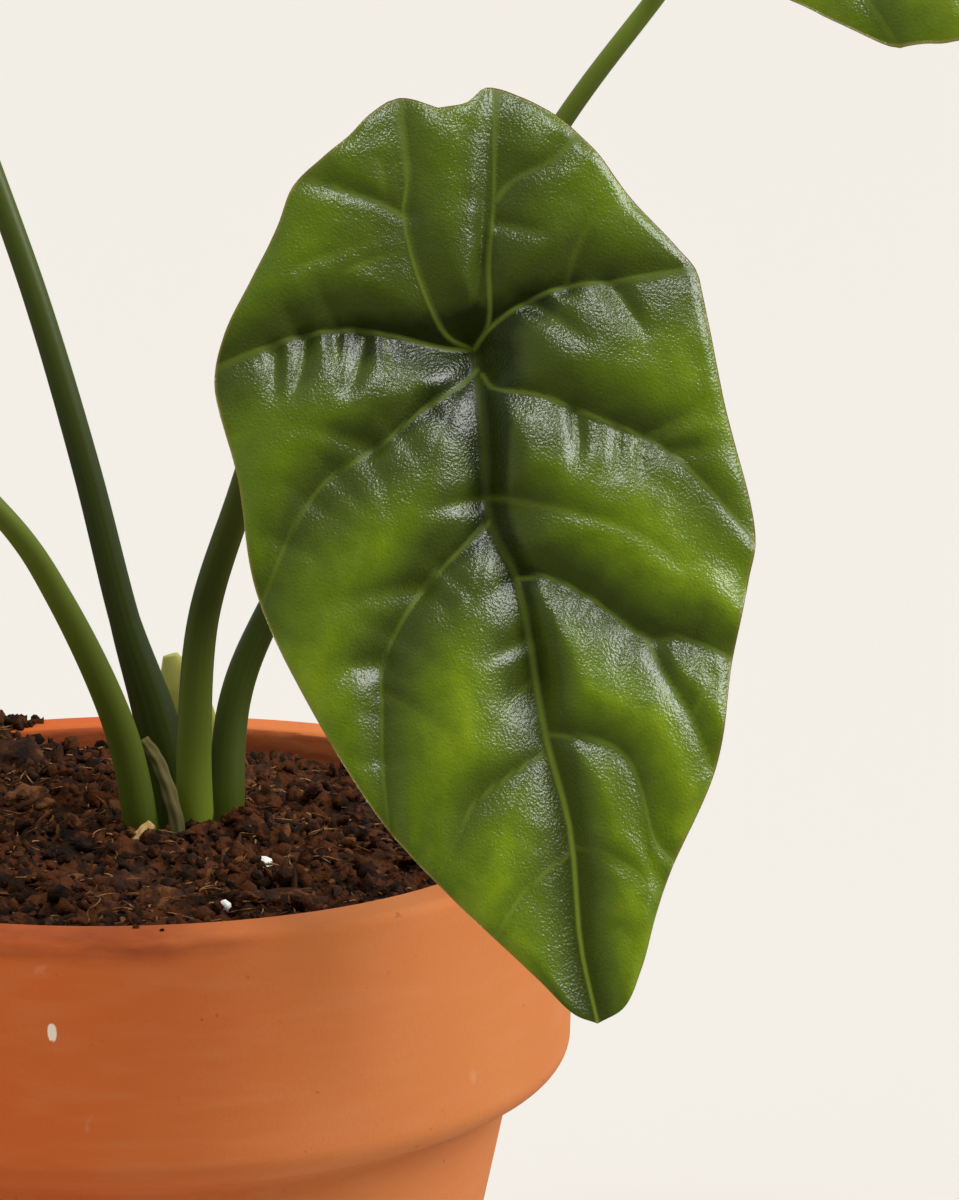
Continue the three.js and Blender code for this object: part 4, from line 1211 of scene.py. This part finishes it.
def pucker_veins():
    """The finest creases that show: short ones that leave a main vein nearly at right angles, to both sides,
    about every 5 mm."""
    draws = np.random.default_rng(5)
    lines = []
    for name in PUCKERED:
        path = VEINS[name][-1]
        marks = np.arange(0.18, 0.93, 0.125) + draws.uniform(-0.03, 0.03, 6)
        at = spline_at(path, marks)
        ahead = spline_at(path, marks + 0.02) - at
        ahead /= np.linalg.norm(ahead, axis=1, keepdims=True)
        for point, way in zip(at, ahead):
            for turn in (1, -1):
                out = np.array([-way[1], way[0]]) * turn
                reach_out = draws.uniform(6, 10)
                bend = way * draws.uniform(0.5, 3)
                lines.append([point, point + out * reach_out / 2, point + out * reach_out + bend])
    return lines


def relief(points, fine_depth, cord):
    """What the veins do to the flat blade: the main troughs, the ribs, the finer creases, the cords, how
    close a cord is, how pale it makes the place, and how dark the green is.

    A trough's depth falls off as exp(-(distance / reach) ** 1.4), slowly towards the tip and steeply on the
    other side, and along the vein. Where several meet, the sixth root of the sum of sixth powers keeps the
    deepest. A narrow crease at the vein and a pit round the junction come on top. A cord is a rounded thread
    at the bottom of a trough, and a rib is its larger counterpart on the underside. The dark green lies in
    the troughs, partly the leaf's own green and partly painted shade; the painted shade is darkest on the
    midrib's right wall, which faces away from the key light, and round the junction, where the pit lies deep,
    and cubes join it as sixth powers join the troughs."""
    places = np.linspace(0, 1, 25)
    total, rib, creases, cords, close, pale, shade, narrow = (np.zeros(len(points)) for _ in range(8))
    for name, (depth, reach_on, reach_back, half_width, paleness, path) in VEINS.items():
        distance, along, side = to_vein(points, spline(path, places))
        reach = reach_back + (reach_on - reach_back) * side
        # What the vein loses by its end: of its depth, of its cord's width and of its dark green
        shallower, thinner, fresher = 0.6, 0.35, 0.45
        ridge, tall, lighter = 0.25 * depth, cord * half_width, paleness * (0.9 - 0.55 * along)
        if name == "midrib":
            shallower, thinner, fresher = 0.2, 0.62, 0.3
            ridge, tall = 1.8, cord * (0.35 + 0.65 * smooth(along, 0, 0.07))
            lighter = paleness * (0.12 + 0.88 * smooth(along, 0.3, 0.85))
            # Painted shade on the midrib's right wall, which faces away from the key light
            wall_shade = 1.4 * np.exp(-(((distance - 1.3) / 2.9) ** 2)) * (1 - side) * (1 - 0.8 * along)
            shade += wall_shade**3
        total += (depth * (1 - shallower * along) * np.exp(-((distance / reach) ** 1.4))) ** 6
        narrow = np.maximum(narrow, 0.13 * depth * (1 - 0.6 * along) * np.exp(-distance / 1.2))
        rib = np.maximum(rib, ridge * (1 - 0.8 * along) * np.exp(-((distance / 1.4) ** 2)))
        width = half_width * (1 - thinner * along)
        cords = np.maximum(cords, tall * (1 - 0.6 * along) * np.exp(-((distance / width) ** 2.2)))
        on_cord = np.exp(-((distance / width) ** 3))
        pale, close = np.maximum(pale, lighter * on_cord), np.maximum(close, on_cord)
        spread = 0.8 * reach + 1
        # Darker green beside each vein: partly the leaf's own green, partly painted shade in the trough
        shade += (depth / 4.4 * (1 - fresher * along) * np.exp(-((distance / spread) ** 1.4))) ** 3
    for depth, reach, path in FINE_VEINS:
        distance, along, _ = to_vein(points, spline(path, places))
        fade = np.minimum(1, 1.6 * (1 - along))
        creases += (depth * fine_depth / 0.7 * fade * np.exp(-((distance / reach) ** 1.7))) ** 4
        if reach > 1:
            pale = np.maximum(pale, 0.2 * fade * np.exp(-((distance / 0.45) ** 2)))
    for path in pucker_veins():
        distance, along, _ = to_vein(points, np.array(path))
        creases += (0.5 * fine_depth * (1 - along**2) * np.exp(-((distance / 1.3) ** 1.3))) ** 4
    away = np.hypot(points[:, 0], points[:, 1])
    trough = total ** (1 / 6) + narrow + 2.8 * np.exp(-((away / 7) ** 2))
    # Painted shade round the junction, where the pit is deepest
    shade = shade ** (1 / 3) + 0.45 * np.exp(-((away / 21) ** 2))
    return trough, rib, creases**0.25, cords, close, pale, shade


def blade_surface(blade, s):
    """A closed blade as a grid: the flat half blades side by side, lifted by the veins' relief, arched
    across, drooping to the tip, tucked in at the rear and waved at the margin, with its underside one
    thickness and its ribs below."""
    half = int(HALF_COLUMNS * blade["detail"])
    t = np.linspace(0, 1, half + 1)
    reaches = t - 0.055 * np.sin(2 * np.pi * t)
    stations = even_stations(int(ROWS * blade["detail"]))
    left = flat_half("left", stations, reaches)[:, :0:-1]
    right = flat_half("right", stations, reaches)
    flat = np.concatenate([left, right], 1)
    shape = flat.shape[:2]
    x, y = flat[..., 0], flat[..., 1]
    reach = np.concatenate([reaches[:0:-1], reaches])[None]
    station = stations[:, None]
    is_left = (np.arange(shape[1]) < half)[None]
    trough, rib, crease, cords, close, pale, shade = (
        values.reshape(shape) for values in relief(flat.reshape(-1, 2), s.fine_depth / MM, s.cord / MM)
    )
    junction_trough = relief(np.zeros((1, 2)), s.fine_depth / MM, s.cord / MM)[0][0]
    near_tip = smooth((TIP - station) / 3)
    down, rear, taken = np.maximum(0, -y) / 95.5, np.maximum(0, y) / 35, np.abs(x) / 36
    edge = np.maximum(0, (reach - 0.8) / 0.2)
    outer = np.clip((reach - 0.45) / 0.55, 0, 1)
    phase = station * 1.9 + blade["seed"] + np.where(is_left, 1.3, 0)
    ripple = np.sin(phase) * smooth(station / 3) * near_tip
    height = junction_trough - trough - SINK
    height = height - blade["arch"] * taken**2 - blade["droop"] * down**2 - 0.4 * blade["tuck"] * rear**2
    drop = 0.6 + 0.4 * smooth(station, 6, 9)
    height = height - drop * edge**2 * near_tip + blade["wave"] * outer**2 * ripple
    # The margin rolls back, most of all at the right shoulder
    shoulder = smooth(station, 1.5, 3.5) * (1 - smooth(station, 7.2, 9)) * ~is_left
    roll = np.maximum(0, (reach - 0.94) / 0.06) ** 2
    height = height - (0.25 + 0.45 * shoulder) * roll * near_tip
    # The rows at the junction and the tip run together, so what is drawn by place fades there
    room = smooth(np.hypot(x, y), 1, 7) * near_tip
    height = height - crease * smooth(np.hypot(x, y), 2, 9) + cords
    quilt = 0.16 * bumps(x + 50, y + 100, 5.3, 21) + 0.07 * bumps(x + 50, y + 100, 2.3, 22)
    frill = 0.28 * smooth(reach, 0.86, 1) * bumps(x + 40, y + 90, 3.4, 23)
    height = height + (quilt + frill) * room
    thick = s.thickness / MM * np.sqrt(np.clip(1 - smooth(reach, 0.965, 1) ** 2, 0.04, 1))
    across = blade["mirror"] * (x * blade["width"] + blade["sway"] * down**2)
    lengthwise = y * blade["length"]
    across_way, length_way, face_way = blade_axes(blade)
    joint = np.array(JUNCTION[blade["name"]])

    def placed(heights):
        return (
            joint
            + across[..., None] * across_way
            + lengthwise[..., None] * length_way
            + heights[..., None] * face_way
        ).reshape(-1, 3)

    upper, lower = placed(height), placed(height - thick - rib - 0.5 * cords)
    quads = grid_quads(*shape)[:, ::-1]
    under = upper.shape[0]
    index = np.arange(under).reshape(shape)
    walls = []
    for line, turned_round in ((index[:, 0], True), (index[:, -1], False)):
        wall = np.column_stack([line[:-1], line[1:], line[1:] + under, line[:-1] + under])
        walls.append(wall[:, ::-1] if turned_round else wall)
    faces = np.vstack([quads, quads[:, ::-1] + under, *[wall[:, ::-1] for wall in walls]])
    if blade["mirror"] < 0:
        faces = faces[:, ::-1]
    rear_shade = 0.15 * np.clip(y / 40 + 0.4, -1, 1)
    marks = {
        # The darker green in the creases is painted shade
        "shade": 0.6 * np.clip(shade + 0.15 * crease + rear_shade, -0.2, 1.7) - blade["young"],
        "vein": pale,
        "cord": close,
        "rib": smooth(rib, 0.15, 0.85),
        "edge": smooth(np.broadcast_to(reach, shape), 0.986, 1),
    }
    marks = {key: np.tile(values.ravel(), 2) for key, values in marks.items()}
    marks["upper"] = np.repeat([1.0, 0.0], under)
    return np.vstack([upper, lower]), faces, marks


class PLANT_OT_blades(bpy.types.Operator):
    """Unfold the four quilted blades"""

    bl_idname = "plant.blades"
    bl_label = "Blades"

    def execute(self, context):
        s = context.scene.plant_blade
        leaf = waxy_leaf(s.dark, s.light)
        for name, blade in BLADES.items():
            points, faces, marks = blade_surface({**blade, "name": name}, s)
            piece = new_piece(f"blade_{name}_skin", points, faces, weld=0.0005, material=leaf, **marks)
            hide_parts(f"blade_{name}")
        return {"FINISHED"}


# Degrees to the right of the pot's front, degrees up and width in degrees. A lamp's strength is the setting of
# the same name.
LAMPS = {
    "key": (80, 42, 32),
    "top": (8, 70, 14),
    "fill": (-85, 30, 80),
}
FLOOR_HALF = 40.0  # metres


class PLANT_OT_stage(bpy.types.Operator):
    """Set the pale floor, the soft lights and the camera"""

    bl_idname = "plant.stage"
    bl_label = "Stage"

    def execute(self, context):
        s = context.scene.plant_stage
        scene = context.scene
        scene.view_settings.view_transform = "Standard"

        def grain(tree, place):
            pulp = node(tree, "ShaderNodeTexNoise", cloudy(place, 2, 3))
            bump = node(tree, "ShaderNodeBump", {"Strength": 0.1, "Distance": 0.2 * MM, "Height": pulp})
            return {"Normal": bump}

        # Backdrop paper: without gloss, its grain only just there
        paper = finish("matt_paper", grain, **{"Base Color": tuple(s.paper), "Roughness": 0.9})
        mesh = bpy.data.meshes.new("floor")
        corners = [(FLOOR_HALF * x, FLOOR_HALF * y, 0) for x, y in ((-1, -1), (1, -1), (1, 1), (-1, 1))]
        mesh.from_pydata(corners, [], [(0, 1, 2, 3)])
        mesh.materials.append(paper)
        floor = bpy.data.objects.new("floor", mesh)
        scene.collection.objects.link(floor)
        floor.visible_glossy = False

        # The room is dim, and dimmest behind the camera. The camera itself sees the pale backdrop.
        world = bpy.data.worlds.new("dim_room")
        scene.world = world
        world.use_nodes = True
        tree = world.node_tree
        tree.nodes.clear()
        way = node(tree, "ShaderNodeTexCoord", out="Generated")
        _, ahead, up = node(tree, "ShaderNodeSeparateXYZ", {0: way}).node.outputs
        behind = node(tree, "ShaderNodeMapRange", {0: ahead, 1: -0.95, 2: 0.3, 3: 0.03, 4: 0.42})
        below = node(tree, "ShaderNodeMapRange", {0: up, 1: -0.3, 2: 0.1, 3: 0.15, 4: 1.0})
        level = node(tree, "ShaderNodeMath", {0: behind, 1: below}, operation="MULTIPLY")
        lit = node(tree, "ShaderNodeBackground", {0: level, 1: 1.0})
        seen = node(tree, "ShaderNodeBackground", {0: tuple(s.backdrop), 1: 1.0})
        ray = node(tree, "ShaderNodeLightPath", out="Is Camera Ray")
        both = node(tree, "ShaderNodeMixShader", {0: ray, 1: lit, 2: seen})
        node(tree, "ShaderNodeOutputWorld", {0: both}, out=None)

        for name, (azimuth, elevation, width) in LAMPS.items():
            lamp_data = bpy.data.lights.new(name, "SUN")
            lamp_data.energy = getattr(s, name)
            lamp_data.angle = math.radians(width)
            lamp = bpy.data.objects.new(name, lamp_data)
            turn, rise = math.radians(azimuth), math.radians(elevation)
            level_way = (math.sin(turn) * math.cos(rise), -math.cos(turn) * math.cos(rise))
            towards = Vector((*level_way, math.sin(rise)))
            lamp.rotation_euler = towards.to_track_quat("Z", "Y").to_euler()
            lamp.visible_glossy = name != "fill"
            scene.collection.objects.link(lamp)

        camera_data = bpy.data.cameras.new("camera")
        camera_data.sensor_width = 36
        camera_data.lens = s.lens
        camera_data.clip_start, camera_data.clip_end = 0.01, 200
        camera = bpy.data.objects.new("camera", camera_data)
        camera.location = (s.camera_side, -s.distance, s.camera_height)
        camera.rotation_euler = (math.pi / 2 - s.pitch, 0, 0)
        scene.collection.objects.link(camera)
        scene.camera = camera
        return {"FINISHED"}


OPERATORS = (PLANT_OT_pot, PLANT_OT_mix, PLANT_OT_corm, PLANT_OT_stems, PLANT_OT_blades, PLANT_OT_stage)
GROUPS = {
    "plant_pot": PotSettings,
    "plant_mix": MixSettings,
    "plant_blade": BladeSettings,
    "plant_stem": StemSettings,
    "plant_stage": StageSettings,
}


class PLANT_PT_panel(bpy.types.Panel):
    """The sizes, the colours and a button for each piece"""

    bl_label = "Potted alocasia"
    bl_idname = "PLANT_PT_panel"
    bl_space_type = "VIEW_3D"
    bl_region_type = "UI"
    bl_category = "Plant"

    def draw(self, context):
        for key, group in GROUPS.items():
            box = self.layout.box()
            for name in group.__annotations__:
                box.prop(getattr(context.scene, key), name)
        for operator in OPERATORS:
            self.layout.operator(operator.bl_idname)


def register():
    for item in (*GROUPS.values(), *OPERATORS, PLANT_PT_panel):
        bpy.utils.register_class(item)
    for key, group in GROUPS.items():
        setattr(bpy.types.Scene, key, PointerProperty(type=group))


def unregister():
    for key in GROUPS:
        delattr(bpy.types.Scene, key)
    for item in reversed((*GROUPS.values(), *OPERATORS, PLANT_PT_panel)):
        bpy.utils.unregister_class(item)


def main():
    register()
    for operator in OPERATORS:
        family, verb = operator.bl_idname.split(".")
        getattr(getattr(bpy.ops, family), verb)()


if __name__ == "__main__":
    main()
